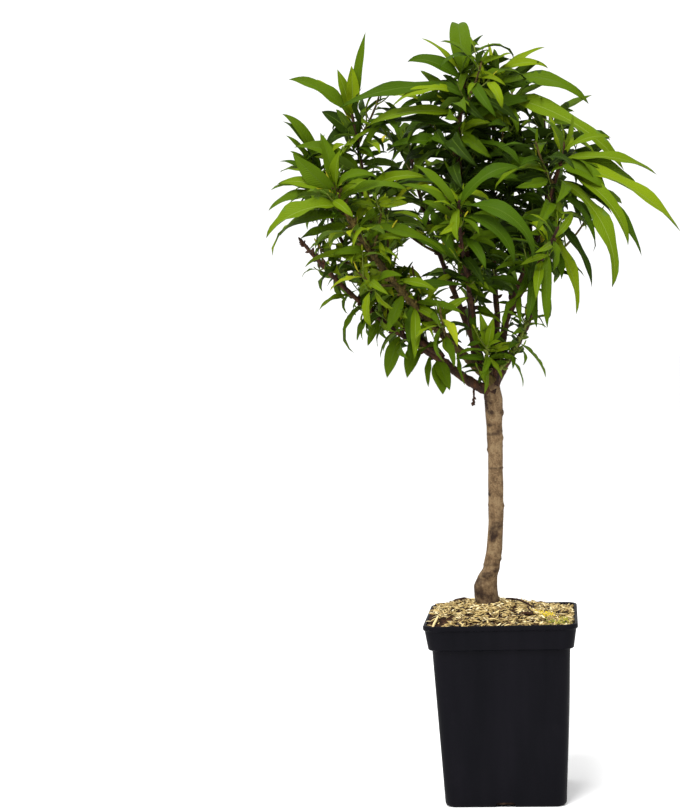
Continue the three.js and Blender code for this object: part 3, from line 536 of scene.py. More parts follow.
@dataclass(frozen=True)
class Blade:
    """A closed body, pointed at both ends, that is repeated many times: a ring drawn along a line.

    Attributes:
        sides: corners of the ring.
        steps: faces along the line.
        kinds: what each side of the ring is, counted from the corner that it starts at.
        crisp: corners whose line along the body is a sharp edge.
    """

    sides: int
    steps: int
    kinds: tuple[int, ...]
    crisp: tuple[int, ...] = ()

    def arrays(self) -> Arrays:
        """Draws the body once and reads it.

        Returns:
            For each vertex its step and corner, and the edges, corners of faces, starts, kinds and map.
        """
        bm = bmesh.new()
        bmesh.ops.create_cone(bm, segments=self.sides, radius1=1.0, radius2=1.0, depth=1.0)
        upright = [e for e in bm.edges if abs(e.verts[0].co.z - e.verts[1].co.z) > 0.5]
        bmesh.ops.subdivide_edges(bm, edges=upright, cuts=self.steps - 1, use_grid_fill=True)
        for vert in bm.verts:
            angle = math.atan2(vert.co.x, vert.co.y)
            corner = round(angle / (2 * math.pi) * self.sides) % self.sides
            vert.co = (corner, round((vert.co.z + 0.5) * self.steps), 0.0)
        for end in (0, self.steps):
            ring = [v for v in bm.verts if round(v.co.y) == end]
            bmesh.ops.pointmerge(bm, verts=ring, merge_co=(-1.0, end, 0.0))
        return self.read(bm)

    def read(self, bm: bmesh.types.BMesh) -> Arrays:
        """Reads the drawn body, whose vertices hold their corner in x and their step in y.

        Args:
            bm: the body, which is freed.

        Returns:
            The arrays that arrays gives.
        """
        bm.verts.index_update()
        bm.edges.index_update()
        corner, step = (np.array([round(v.co[axis]) for v in bm.verts]) for axis in (0, 1))
        loops, loop_edges, starts, kinds, spots = [], [], [], [], []
        for face in bm.faces:
            on = sorted({int(corner[v.index]) for v in face.verts} - {-1})
            side = self.sides - 1 if on == [0, self.sides - 1] else on[0]
            starts.append(len(loops))
            kinds.append(self.kinds[side])
            for loop in face.loops:
                loops.append(loop.vert.index)
                loop_edges.append(loop.edge.index)
                at = corner[loop.vert.index]
                around_it = side + 0.5 if at < 0 else (self.sides if at == 0 and side else at)
                spots.append((around_it, step[loop.vert.index] / self.steps))
        edges = np.array([[v.index for v in e.verts] for e in bm.edges])
        sharp = [corner[a] == corner[b] and corner[a] in self.crisp for a, b in edges]
        bm.free()
        found = {"corner": corner, "step": step, "edges": edges, "loops": loops, "loop_edges": loop_edges,
                 "starts": starts, "kinds": kinds, "spots": spots, "sharp": sharp}
        return {key: np.array(values) for key, values in found.items()}


def joined(name: str, shape: Arrays, points: np.ndarray, slots: np.ndarray,
           across: Callable[[np.ndarray], np.ndarray]) -> Mesh:
    """Repeats a body as one mesh.

    Args:
        name: the mesh's name.
        shape: what Blade.arrays gives.
        points: the vertices of every copy, in metres: copies, vertices, 3.
        slots: the material slot of every face of every copy: copies, faces.
        across: turns places round the ring into the map's U.

    Returns:
        The mesh, with a map named leaf.
    """
    count, size = points.shape[:2]

    def repeated(key: str, step: int) -> np.ndarray:
        """Returns an array of numbers for every copy, each copy's raised by a step."""
        return (shape[key].ravel()[None] + np.arange(count)[:, None] * step).ravel().astype(np.int32)

    edges, loops, faces = (len(shape[key]) for key in ("edges", "loops", "starts"))
    mesh = bpy.data.meshes.new(name)
    for part, number in {"vertices": size, "edges": edges, "loops": loops, "polygons": faces}.items():
        getattr(mesh, part).add(count * number)
    mesh.vertices.foreach_set("co", points.astype(np.float32).ravel())
    mesh.edges.foreach_set("vertices", repeated("edges", size))
    mesh.loops.foreach_set("vertex_index", repeated("loops", size))
    mesh.loops.foreach_set("edge_index", repeated("loop_edges", edges))
    mesh.polygons.foreach_set("loop_start", repeated("starts", loops))
    mesh.polygons.foreach_set("material_index", slots.ravel().astype(np.int32))
    flat = mesh.attributes.get("sharp_face") or mesh.attributes.new("sharp_face", "BOOLEAN", "FACE")
    flat.data.foreach_set("value", np.zeros(count * faces, dtype=bool))
    crisp = mesh.attributes.new("sharp_edge", "BOOLEAN", "EDGE")
    crisp.data.foreach_set("value", np.tile(shape["sharp"], count))
    spread = np.stack([across(shape["spots"][:, 0]), shape["spots"][:, 1]], 1)
    layer = mesh.uv_layers.new(name="leaf")
    layer.uv.foreach_set("vector", np.tile(spread.ravel(), count).astype(np.float32))
    mesh.update()
    mesh.validate()
    return mesh


# ---------------------------------------------------------------- limbs


@dataclass(frozen=True)
class Limb:
    """A limb along a curve with four control points, which tapers from its first radius to its second."""

    points: tuple[Vector, Vector, Vector, Vector]
    radius: float
    tip: float

    def at(self, t: float) -> Vector:
        """Gives a point of the curve.

        Args:
            t: share of the way along.

        Returns:
            The point.
        """
        a, b, c, d = self.points
        s = 1 - t
        return a * s**3 + b * (3 * s * s * t) + c * (3 * s * t * t) + d * t**3

    def along(self, t: float) -> Vector:
        """Gives the curve's direction.

        Args:
            t: share of the way along.

        Returns:
            The direction there.
        """
        a, b, c, d = self.points
        s = 1 - t
        return ((b - a) * s * s + (c - b) * (2 * s * t) + (d - c) * t * t).normalized()

    def length(self) -> float:
        """Returns the length along the curve."""
        spots = [self.at(i / 12) for i in range(13)]
        return sum((b - a).length for a, b in zip(spots, spots[1:]))

    def thickness(self, t: float) -> float:
        """Returns the radius there."""
        return mix(self.radius, self.tip, t)


def limb(a: Triple, b: Triple, c: Triple, d: Triple, radius: float, tip: float) -> Limb:
    """Returns a limb through plain numbers."""
    return Limb((Vector(a), Vector(b), Vector(c), Vector(d)), radius, tip)


@dataclass
class WoodPile:
    """Tubes that become one mesh, each with its own bark."""

    routes: list[tuple[Iterable[Vector], Iterable[float], Wood]] = field(default_factory=list)
    resolution: int = 1
    seed: int = 1
    knot: float = 0.11  # how much thicker a knot is, as a share

    def add_limb(self, shape: Limb, wood: Wood, steps: int, sink: float = 0.0, flare: float = 0.0,
                 knots: int = 0, point: bool = False) -> None:
        """Adds a limb.

        Args:
            shape: the limb.
            wood: its bark.
            steps: rings along it.
            sink: how far its foot goes on inside what carries it.
            flare: how much thicker it is at the foot, as a share.
            knots: number of thicker places where leaves have stood.
            point: whether it draws in to nothing at its tip.
        """
        tube = []
        if sink:
            tube.append((shape.at(0) - shape.along(0) * sink, shape.radius * (1 + flare)))
        for t in (i / steps for i in range(steps + 1)):
            thick = shape.thickness(t) * (1 + flare * math.exp(-t * 7))
            if knots:
                thick *= 1 + self.knot * max(0.0, math.sin(2 * math.pi * knots * t + self.seed)) ** 3
            tube.append((shape.at(t), thick))
        if point:
            tube.append((shape.at(1) + shape.along(1) * shape.tip * 1.6, shape.tip * 0.35))
        self.routes.append((*zip(*tube), wood))

    def add_bud(self, root: Vector, way: Vector, size: float, wood: Wood) -> None:
        """Adds a bud: a short body that draws in to a point."""
        places, shares = (0.0, 0.35, 0.7, 1.0), (0.3, 0.36, 0.26, 0.06)
        self.routes.append(([root + way * (size * p) for p in places], [size * s for s in shares], wood))

    def add_buds(self, shape: Limb, start: float, end: float, count: int, size: float, wood: Wood) -> None:
        """Adds buds round a limb.

        Args:
            shape: the limb.
            start: place of the first.
            end: place of the last.
            count: how many.
            size: length of a middling bud.
            wood: their bark.
        """
        for i in range(count):
            t = mix(start, end, i / max(1, count - 1))
            along = shape.along(t)
            out = around(*section(along), TWIG.turn * i)
            way = (out * 0.85 + along * 0.55).normalized()
            own = size * mix(0.6, 1.3, chance(i, count, 60))
            self.add_bud(shape.at(t) + out * (shape.thickness(t) * 0.75), way, own, wood)

    def mesh(self, name: str, rough: float, wave: float) -> Mesh:
        """Makes the tubes a mesh with uneven bark.

        Args:
            name: the mesh's name.
            rough: depth of the unevenness as a share of a millimetre.
            wave: its length.

        Returns:
            The mesh.
        """
        curve = bpy.data.curves.new(name, "CURVE")
        curve.dimensions = "3D"
        curve.bevel_depth = 1.0
        curve.bevel_resolution = self.resolution
        curve.use_fill_caps = True
        curve.twist_mode = "MINIMUM"
        for _ in Wood:
            curve.materials.append(None)
        for route, radii, wood in self.routes:
            spline = curve.splines.new("POLY")
            spline.points.add(len(route) - 1)
            spline.use_smooth = True
            spline.material_index = wood.value
            for point, spot, radius in zip(spline.points, route, radii):
                point.co = (*(spot * MM), 1.0)
                point.radius = radius * MM
        holder = bpy.data.objects.new(name + "_route", curve)
        mesh = bpy.data.meshes.new_from_object(holder)
        bpy.data.objects.remove(holder)
        for vert in mesh.vertices:
            spot = vert.co / MM
            push = noise.noise(spot / wave) * rough + noise.noise(spot / (wave * 0.35)) * rough * 0.5
            vert.co += vert.normal * (push * MM)
        smooth(mesh)
        return mesh


# ---------------------------------------------------------------- pot


@dataclass
class NurseryPot:
    """The square pot: a tapered body under a collar and a lip, open at the top, with drain holes."""

    rim: float = 180.0
    height: float = 217.0
    lip: float = 6.0
    collar_top: float = 176.0
    collar_foot: float = 170.0
    collar_depth: float = 30.0
    body_top: float = 161.0
    base: float = 142.0
    corner: float = 13.0
    lip_corner: float = 15.0
    wall: float = 1.8
    floor: float = 3.0
    bow: float = 1.3  # how far the sides stand out at the middle
    corner_steps: int = 8
    side_steps: int = 10
    body_steps: int = 9
    slot_wide: float = 24.0
    slot_high: float = 6.0
    slot_deep: float = 6.8
    slot_corner: float = 4.5
    hole: float = 11.0
    hole_offset: float = 38.0
    crisp: float = 32.0  # degrees
    finish: MouldedPolypropylene = MouldedPolypropylene()

    def levels(self) -> list[tuple[float, float, float, float]]:
        """Lists the rings of the pot's wall, up the outside and down the inside.

        Returns:
            Height, width, corner and bow of each ring.
        """
        top, shoulder, under_lip = self.height, self.height - self.collar_depth, self.height - self.lip
        base, body, foot, collar, rim = (
            self.base, self.body_top, self.collar_foot, self.collar_top, self.rim)
        out, lip, inn, walls = self.corner, self.lip_corner, self.corner - self.wall, 2 * self.wall
        places = [mix(4.0, shoulder - 1.6, i / self.body_steps) for i in range(self.body_steps + 1)]
        return [
            (0.0, base - 7.0, out - 3.0, 0.0), (0.5, base - 4.4, out - 1.6, 0.0),
            (1.8, base - 1.8, out - 0.6, 0.0),
            *[(z, mix(base, body, z / shoulder), out, math.sin(math.pi * z / shoulder)) for z in places],
            (shoulder - 0.6, body + 0.4, out, 0.0), (shoulder, body + 2.4, out, 0.0),
            (shoulder + 0.5, foot - 2.6, out, 0.0), (shoulder + 1.5, foot - 0.6, out, 0.0),
            (shoulder + 3.0, foot, out, 0.1), (top - 18.0, mix(foot, collar, 0.45), out, 0.2),
            (under_lip - 2.4, collar - 0.4, out, 0.1), (under_lip - 0.8, collar, out, 0.0),
            (under_lip, collar + 1.4, lip - 1.0, 0.0), (under_lip + 0.5, rim - 0.8, lip, 0.0),
            (under_lip + 1.4, rim, lip, 0.0), (top - 1.4, rim, lip, 0.0), (top - 0.4, rim - 0.9, lip, 0.0),
            (top, rim - 2.4, lip - 0.6, 0.0), (top - 0.2, collar - walls + 1.0, out, 0.0),
            (top - 1.4, collar - walls, inn, 0.0), (shoulder + 2.4, foot - walls, inn, 0.1),
            (shoulder - 1.0, body - walls, inn, 0.0), (self.floor + 3.0, base - walls - 1.0, inn, 0.0),
            (self.floor, base - walls - 5.0, inn - 2.0, 0.0),
        ]

    def spot(self, level: tuple[float, float, float, float], i: int) -> Vector:
        """Gives a point of the rounded square.

        Args:
            level: height, width, corner and bow.
            i: number of the point round the ring.

        Returns:
            The point, in metres.
        """
        z, width, corner, bow = level
        quarter, step = divmod(i, self.corner_steps + self.side_steps)
        reach = width / 2 - corner
        angle = math.pi / 2 * min(step, self.corner_steps) / self.corner_steps
        x, y = reach + corner * math.cos(angle), reach + corner * math.sin(angle)
        if step > self.corner_steps:
            share = (step - self.corner_steps) / self.side_steps
            x = mix(reach, -reach, share)
            y += self.bow * bow * math.sin(math.pi * share)
        turn = math.pi / 2 * quarter
        cos, sin = math.cos(turn), math.sin(turn)
        return Vector((x * cos - y * sin, x * sin + y * cos, z)) * MM

    def cutters(self) -> Piece:
        """Draws the four drain arches and the four round holes, to be cut away.

        Returns:
            One body of them all.
        """
        bm = bmesh.new()
        for side in range(4):
            turn = Matrix.Rotation(side * math.pi / 2, 4, "Z")
            arch = bmesh.ops.create_cube(bm, size=1.0)["verts"]
            size = Vector((self.slot_wide, 2 * self.slot_deep, 2 * self.slot_high)) * MM
            bmesh.ops.scale(bm, vec=size, verts=arch)
            bmesh.ops.translate(bm, vec=Vector((0, -self.base / 2, 0)) * MM, verts=arch)
            upper = {
                e for v in arch for e in v.link_edges
                if all(w.co.z > 0 for w in e.verts) and abs(e.verts[0].co.y - e.verts[1].co.y) > 1e-6
            }
            rounded = bmesh.ops.bevel(
                bm, geom=list(upper), offset=self.slot_corner * MM, segments=5, profile=0.5, affect="EDGES",
                material=-1,
            )["verts"]
            moved = list({v for v in arch if v.is_valid} | set(rounded))
            bmesh.ops.transform(bm, matrix=turn, verts=moved)
            drill = bmesh.ops.create_cone(
                bm, cap_ends=True, segments=24, radius1=self.hole / 2 * MM, radius2=self.hole / 2 * MM,
                depth=4 * self.floor * MM,
            )["verts"]
            bmesh.ops.translate(bm, vec=Vector((self.hole_offset, self.hole_offset, 0)) * MM, verts=drill)
            bmesh.ops.transform(bm, matrix=turn, verts=drill)
        return put("drain_cutter", to_mesh(bm, "drain_cutter"))

    def build(self) -> Piece:
        """Builds the pot and cuts its drains.

        Returns:
            The pot.
        """
        rings = self.levels()
        count = 4 * (self.corner_steps + self.side_steps)
        bm = loft(count, len(rings), lambda level, i: self.spot(rings[level], i))
        whole, cutter = put("pot_whole", to_mesh(bm, "pot_whole")), self.cutters()
        cut = whole.modifiers.new("drains", "BOOLEAN")
        cut.operation = "DIFFERENCE"
        cut.solver = "EXACT"
        cut.object = cutter
        ready = whole.evaluated_get(bpy.context.evaluated_depsgraph_get())
        mesh = bpy.data.meshes.new_from_object(ready)
        for gone in (whole, cutter):
            bpy.data.objects.remove(gone)
        smooth(mesh, self.crisp)
        return settle("nursery_pot", mesh, dressed([self.finish]), ["pot"])


# ---------------------------------------------------------------- mulch


class Husk(Enum):
    """Body colours of the husks and chips, from weathered to clean straw."""

    DARK = "2a1a0b"
    BROWN = "5a4120"
    DULL = "8a7343"
    STRAW = "ad955c"
    CLEAN = "c6b077"
    PALE = "dccc9e"


class Moss(Enum):
    """Body colours of the moss, from its yellow cushions to the green at the front."""

    YELLOW = "d8bf1c"
    OLIVE = "b3a638"
    GREEN = "8a8f35"
    DEEP = "5a6a24"


@dataclass
class Mulch:
    """Husks and chips on the growing mix, drawn up in a mound round the trunk, with moss and litter."""

    foot: Pair = (-17.0, 12.0)
    keep_off: float = 14.0  # no husk lies nearer to the trunk's middle
    half: float = 84.5  # from the pot's middle to where the chips end
    count: int = 2300
    shares: tuple[float, ...] = (0.08, 0.1, 0.16, 0.26, 0.25, 0.15)  # of each colour of husk
    length: Pair = (8.0, 13.5)
    width: Pair = (2.1, 3.3)
    depth: float = 0.9
    tilt: float = 34.0  # most that a husk stands up, in degrees
    lift: float = 2.4  # most that it lies above the ground
    brim: float = 211.0  # height of the ground past the solid's edge
    seed: int = 11
    bare: tuple[Triple, ...] = (
        (-78, -64, 17), (-86, -30, 12), (-63, -53, 9), (-79, 35, 6), (-66, 46, 6), (-36, -45, 5),
        (32, -36, 6), (-88, 20, 9),
    )  # places, across and back, with their radii
    bareness: float = 0.88  # share of the husks that a bare place doesn't get
    tufts: tuple[tuple[float, float, float, float, int, tuple[int, ...]], ...] = (
        (53.0, -24.0, 10.0, 11.0, 240, (0, 0, 1)), (67.0, -58.0, 15.0, 12.0, 190, (2, 1, 2, 3)),
        (55.0, -81.0, 9.0, 3.0, 70, (3, 2)), (75.0, -36.0, 7.0, 9.0, 60, (2, 1)),
    )  # of moss: place, spread both ways, number of fronds and their colours
    frond_length: Pair = (2.0, 5.0)
    frond_width: Pair = (0.6, 1.2)
    frond_tilt: float = 80.0  # degrees
    frond_lift: float = 3.2
    wall: float = 84.0  # no moss grows further back than this
    sticks: tuple[tuple[tuple[Triple, ...], tuple[float, ...], Wood], ...] = (
        (((5, 32, 4.5), (12, 19, 5), (22, 8, 5), (31, 0, 4.5), (39, -6, 3)), (0.8, 1.4, 1.2, 1.4, 0.6),
         Wood.OLD),
        (((31, -12, 4), (33, -25, 5), (38, -34, 4)), (0.7, 1.0, 0.6), Wood.OLD),
        (((25, -34, 2.5), (32, -37, 3.5), (40, -34, 2.5)), (1.2, 2.4, 1.0), Wood.OLD),
        (((-79, -82, 1), (-77, -64, 3.5), (-74, -46, 5)), (1.2, 1.6, 1.3), Wood.YOUNG),
        (((-67, 78, 3), (-59, 82, 5), (-49, 82, 5.5), (-40, 78, 4)), (0.9, 1.9, 1.9, 0.9), Wood.OLD),
        (((-83, 44, 2), (-83, 66, 3), (-79, 79, 3.5), (-70, 83, 3)), (1.2, 2.0, 2.2, 1.2), Wood.OLD),
        (((40, 81, 2.5), (46, 83, 3.5), (53, 80, 2.5)), (0.7, 1.3, 0.6), Wood.OLD),
    )  # each a line of places, across, back and above the ground, with its radii and its bark
    blade: Blade = Blade(5, 4, (0, 0, 0, 0, 0))
    breadth: tuple[float, ...] = (0.0, 0.72, 1.0, 0.66, 0.0)
    ring: tuple[Pair, ...] = ((0.0, 1.0), (1.0, 0.45), (0.62, -0.6), (-0.62, -0.6), (-1.0, 0.45))

    def ground(self) -> BVHTree:
        """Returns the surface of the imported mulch, to set things on."""
        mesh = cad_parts["mulch"].data
        return BVHTree.FromPolygons([v.co for v in mesh.vertices], [list(p.vertices) for p in mesh.polygons])

    def level(self, tree: BVHTree, x: float, y: float) -> float:
        """Returns the height of the mulch there, in millimetres."""
        hit = tree.ray_cast(Vector((x * MM, y * MM, 0.3)), Vector((0, 0, -1)))[0]
        return hit.z / MM if hit else self.brim

    def lie(self, rng: np.random.Generator, count: int, spread: Callable[[], Pair], length: Pair, width: Pair,
            tilt: float, lift: float, shape: Arrays, tree: BVHTree) -> np.ndarray:
        """Lays small slivers on the mulch.

        Args:
            rng: the seeded source of scatter.
            count: how many.
            spread: gives a place, across and back.
            length: shortest and longest.
            width: narrowest and widest.
            tilt: most that one stands up, in degrees.
            lift: most that one lies above the ground.
            shape: the sliver's arrays.
            tree: the ground.

        Returns:
            The vertices of every sliver, in metres.
        """
        ring = np.array([*self.ring, (0.0, 0.0)])[shape["corner"]]
        half = 0.5 * np.array(self.breadth)[shape["step"]]
        base = np.stack([shape["step"] / self.blade.steps - 0.5, ring[:, 0] * half, ring[:, 1] * half], 1)
        made = []
        for _ in range(count):
            x, y = spread()
            long, wide = rng.uniform(*length), rng.uniform(*width)
            own = base * (long, wide, self.depth * rng.uniform(0.7, 1.5))
            own[:, 2] -= (base[:, 0] ** 2) * long * rng.uniform(-0.1, 0.25)
            turn = Matrix.Rotation(rng.uniform(0, 2 * math.pi), 3, "Z")
            turn = turn @ Matrix.Rotation(math.radians(rng.normal(0, tilt / 2)), 3, "Y")
            turn = turn @ Matrix.Rotation(rng.uniform(-0.8, 0.8), 3, "X")
            z = self.level(tree, x, y) + 0.3 + lift * rng.random()
            made.append(own @ np.array(turn).T + (x, y, z))
        return np.array(made) * MM

    def strewn(self, name: str, points: np.ndarray, kinds: np.ndarray, finishes: Sequence[Finish],
               shape: Arrays) -> Piece:
        """Makes slivers one piece.

        Args:
            name: the piece's name.
            points: the vertices of every sliver, in metres.
            kinds: for each sliver, the number of its finish.
            finishes: the finishes.
            shape: the sliver's arrays.

        Returns:
            The piece.
        """
        slots = np.repeat(kinds[:, None], len(shape["starts"]), 1)
        mesh = joined(name, shape, points, slots, lambda u: u / self.blade.sides)
        return settle(name, mesh, dressed(finishes))

    def chips(self, tree: BVHTree, shape: Arrays) -> Piece:
        """Lays the husks, thin over the bare places.

        Args:
            tree: the ground.
            shape: the sliver's arrays.

        Returns:
            The husks as one piece.
        """
        rng = np.random.default_rng(self.seed)

        def spread() -> Pair:
            """Finds a place that isn't under the trunk and seldom on bare ground.

            Returns:
                The place, across and back.
            """
            while True:
                x, y = rng.uniform(-self.half, self.half, 2)
                if math.hypot(x - self.foot[0], y - self.foot[1]) < self.keep_off:
                    continue
                if any(math.hypot(x - a, y - b) < r and rng.random() < self.bareness
                       for a, b, r in self.bare):
                    continue
                return x, y

        points = self.lie(
            rng, self.count, spread, self.length, self.width, self.tilt, self.lift, shape, tree)
        kinds = rng.choice(len(Husk), self.count, p=self.shares)
        finishes = [Plain(f"husk_{h.name.lower()}", h.value, (0.7, 0.95), grain=0.8) for h in Husk]
        return self.strewn("husk_mulch", points, kinds, finishes, shape)

    def moss(self, tree: BVHTree, shape: Arrays) -> Piece:
        """Grows the tufts of moss, yellow by the middle and green by the front.

        Args:
            tree: the ground.
            shape: the sliver's arrays.

        Returns:
            The moss as one piece.
        """
        rng = np.random.default_rng(self.seed + 1)
        parts, kinds = [], []
        for x, y, wide, deep, count, tones in self.tufts:
            def spread() -> Pair:
                """Returns a place in the tuft, inside the pot's wall."""
                return x + rng.normal(0, wide / 2), min(self.wall, y + rng.normal(0, deep / 2))

            parts.append(self.lie(
                rng, count, spread, self.frond_length, self.frond_width, self.frond_tilt, self.frond_lift,
                shape, tree))
            kinds.append(rng.choice(tones, count))
        finishes = [Plain(f"moss_{i}", m.value, (0.8, 0.95), grain=0.6) for i, m in enumerate(Moss)]
        return self.strewn("moss_tufts", np.concatenate(parts), np.concatenate(kinds), finishes, shape)

    def litter(self, tree: BVHTree) -> Piece:
        """Lays the twigs, the pale stick and the crumbs of bark.

        Args:
            tree: the ground.

        Returns:
            The litter as one piece.
        """
        pile = WoodPile(seed=5)
        for spots, radii, wood in self.sticks:
            route = [Vector((x, y, self.level(tree, x, y) + up)) for x, y, up in spots]
            pile.routes.append((route, radii, wood))
        finishes = (*BARKS[:2], Plain("stick_straw", "cdb883", (0.7, 0.9)))
        mesh = pile.mesh("mulch_litter", rough=0.35, wave=3.0)
        return settle("mulch_litter", mesh, dressed(finishes))

    def build(self) -> list[Piece]:
        """Builds everything that lies in the pot's mouth.

        Returns:
            Its pieces.
        """
        ground = Loose("composted_bark_fines", ("170d07", "2a190f", "4a321f"), grain=2.0)
        filling = Loose("potting_mix", ("1a120d", "2b1f18", "46352a"), grain=2.4)
        for node, finish in (("mulch", ground), ("growing_mix", filling)):
            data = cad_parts[node].data
            data.materials.clear()
            data.materials.append(finish.material())
        tree, shape = self.ground(), self.blade.arrays()
        return [self.chips(tree, shape), self.moss(tree, shape), self.litter(tree)]


# ---------------------------------------------------------------- trunk and boughs


@dataclass(frozen=True)
class Mark:
    """A knot, scar or stain on the trunk.

    Attributes:
        up: its height above the trunk's foot.
        bearing: where it is round the trunk, in degrees, 0 to the right and 270 to the front.
        wide: half its width.
        high: half its height.
        rise: how far it stands out.
        dark: how far it darkens.
    """

    up: float
    bearing: float
    wide: float
    high: float
    rise: float
    dark: float

    def away(self, up: float, bearing: float, radius: float) -> float:
        """Measures how far a place is from the mark's middle.

        Args:
            up: the place's height above the trunk's foot.
            bearing: its bearing in degrees.
            radius: the trunk's radius there.

        Returns:
            The square of the distance, as a share of the mark's size.
        """
        turn = (bearing - self.bearing + 180) % 360 - 180
        aside = math.radians(turn) * radius / self.wide
        above = (up - self.up) / self.high
        return aside * aside + above * above


@dataclass
class Trunk:
    """The trunk, from its foot in the mulch to the pruned top in the fork."""

    foot: Vector = field(default_factory=lambda: Vector((-17.0, 12.0, 228.3)))
    rings: tuple[Triple, ...] = (
        (0, 0, 15.2), (8, -1.5, 14.6), (22, -1.5, 14.2), (33, 1, 11.8), (44, 6, 9.9), (66, 10, 9.5),
        (100, 13, 9.2), (140, 14, 9.2), (180, 15, 9.1), (212, 15, 9.7), (246, 15, 10.6), (264, 13.5, 9.6),
        (284, 12, 8.2),
    )  # each its height, how far right its middle is, and its radius
    sides: int = 56
    steps: int = 230
    sink: float = 3.0  # how far the foot goes on into the mulch
    foot_dark: float = 0.85
    foot_fade: float = 26.0  # height in which the foot's stain fades
    fork_dark: float = 0.9
    fork_low: float = 250.0  # height where the darkening towards the fork starts
    fork_fade: float = 20.0  # and the height in which it is full
    marks: tuple[Mark, ...] = tuple(Mark(*row) for row in (
        (14, 235, 11, 10, 1.1, 1.0), (7, 300, 15, 8, 0.6, 0.9), (27, 220, 9, 7, 1.0, 1.0),
        (36, 258, 8, 3.4, 1.4, 1.6), (36, 262, 3, 1.4, -1.3, 0.2), (41, 325, 8, 4, 0.7, 0.9),
        (48, 265, 16, 2.0, 0.7, 0.7), (54, 340, 4, 3, 1.6, 0.9), (87, 258, 6.5, 11, -0.3, 1.4),
        (94, 284, 9, 6, 0.3, 1.1), (78, 262, 4, 3, 0.4, 0.8), (133, 215, 3, 2.6, 1.4, 1.7),
        (118, 355, 3, 3, 1.2, 0.6), (164, 290, 14, 1.3, 0.8, 0.8), (164, 330, 6, 1.3, 0.7, 0.9),
        (186, 190, 4, 3, 1.4, 0.6), (205, 255, 9, 2.4, 0.6, 1.0), (208, 320, 8, 2.6, 0.6, 0.7),
        (200, 350, 4, 3, 1.3, 0.4), (216, 235, 6, 2, 0.5, 0.9), (231, 250, 3.8, 3.4, 1.9, 2.0),
        (230, 338, 4, 4, 2.3, 1.9), (252, 210, 8, 18, 0.8, 1.5), (250, 200, 5, 4, 0.8, 0.6),
        (160, 120, 4, 3, 1.3, 0.8), (90, 60, 5, 4, 1.2, 0.7), (226, 90, 5, 4, 1.6, 0.8),
        (120, 150, 14, 1.3, 0.5, 0.5), (190, 40, 12, 1.3, 0.5, 0.5),
    ))

    def ring(self, up: float) -> Pair:
        """Reads the smooth line through the rings.

        Args:
            up: height above the foot.

        Returns:
            How far right the middle is, and the radius.
        """
        i = int(limited(sum(h < up for h, _, _ in self.rings), 1, len(self.rings) - 1))
        (low, right_a, radius_a), (high, right_b, radius_b) = self.rings[i - 1], self.rings[i]
        share = (up - low) / (high - low)
        eased = share * share * (3 - 2 * share) * 0.4 + share * 0.6
        return mix(right_a, right_b, eased), mix(radius_a, radius_b, eased)

    def spot(self, level: int, i: int) -> Vector:
        """Gives a point of the bark.

        Args:
            level: number of the ring.
            i: number of the point round it.

        Returns:
            The point, in metres.
        """
        up = mix(-self.sink, self.rings[-1][0], level / (self.steps - 1))
        angle = 2 * math.pi * i / self.sides
        right, radius = self.ring(max(0.0, up))
        way = Vector((math.cos(angle), math.sin(angle), 0))
        middle = self.foot + Vector((right, 0, up))
        relief = sum(m.rise * math.exp(-m.away(up, math.degrees(angle), radius)) for m in self.marks)
        there = way * radius + Vector((0, 0, up))
        # slow swellings, drawn-out ridges, fine cross lines, and the ribs of the root flare
        relief += 0.9 * noise.noise(there / 24.0)
        relief += 0.3 * noise.noise(Vector((there.x / 5, there.y / 5, there.z / 16)))
        relief += 0.22 * noise.noise(Vector((there.x / 3.2, there.y / 3.2, there.z / 1.6)))
        relief += 0.5 * math.exp(-up / 7) * math.sin(3 * angle + 0.6) * 2
        return (middle + way * (radius + relief - 0.15)) * MM

    def stains(self, mesh: Mesh) -> None:
        """Writes how dark each place is, for the bark.

        Args:
            mesh: the trunk's mesh.
        """
        layer = mesh.attributes.new("stain", "FLOAT", "POINT")
        dark = []
        for vert in mesh.vertices:
            there = vert.co / MM - self.foot
            right, radius = self.ring(max(0.0, there.z))
            bearing = math.degrees(math.atan2(there.y, there.x - right))
            ragged = 1 + 0.5 * noise.noise(there / 2.2) + 0.5 * noise.noise(there / 5.0)
            marked = max(
                m.dark * math.exp(-(m.away(there.z, bearing, radius) * ragged) ** 2) for m in self.marks)
            foot = self.foot_dark * math.exp(-max(0.0, there.z) / self.foot_fade) * ragged
            fork = self.fork_dark * limited((there.z - self.fork_low) / self.fork_fade)
            dark.append(min(1.0, max(marked, foot, fork)))
        layer.data.foreach_set("value", np.array(dark, dtype=np.float32))

    def build(self) -> Piece:
        """Builds the trunk.

        Returns:
            The trunk.
        """
        mesh = to_mesh(loft(self.sides, self.steps, self.spot), "trunk_bark", 60)
        self.stains(mesh)
        return settle("trunk_bark", mesh, dressed([TRUNK_BARK]), ["trunk"])


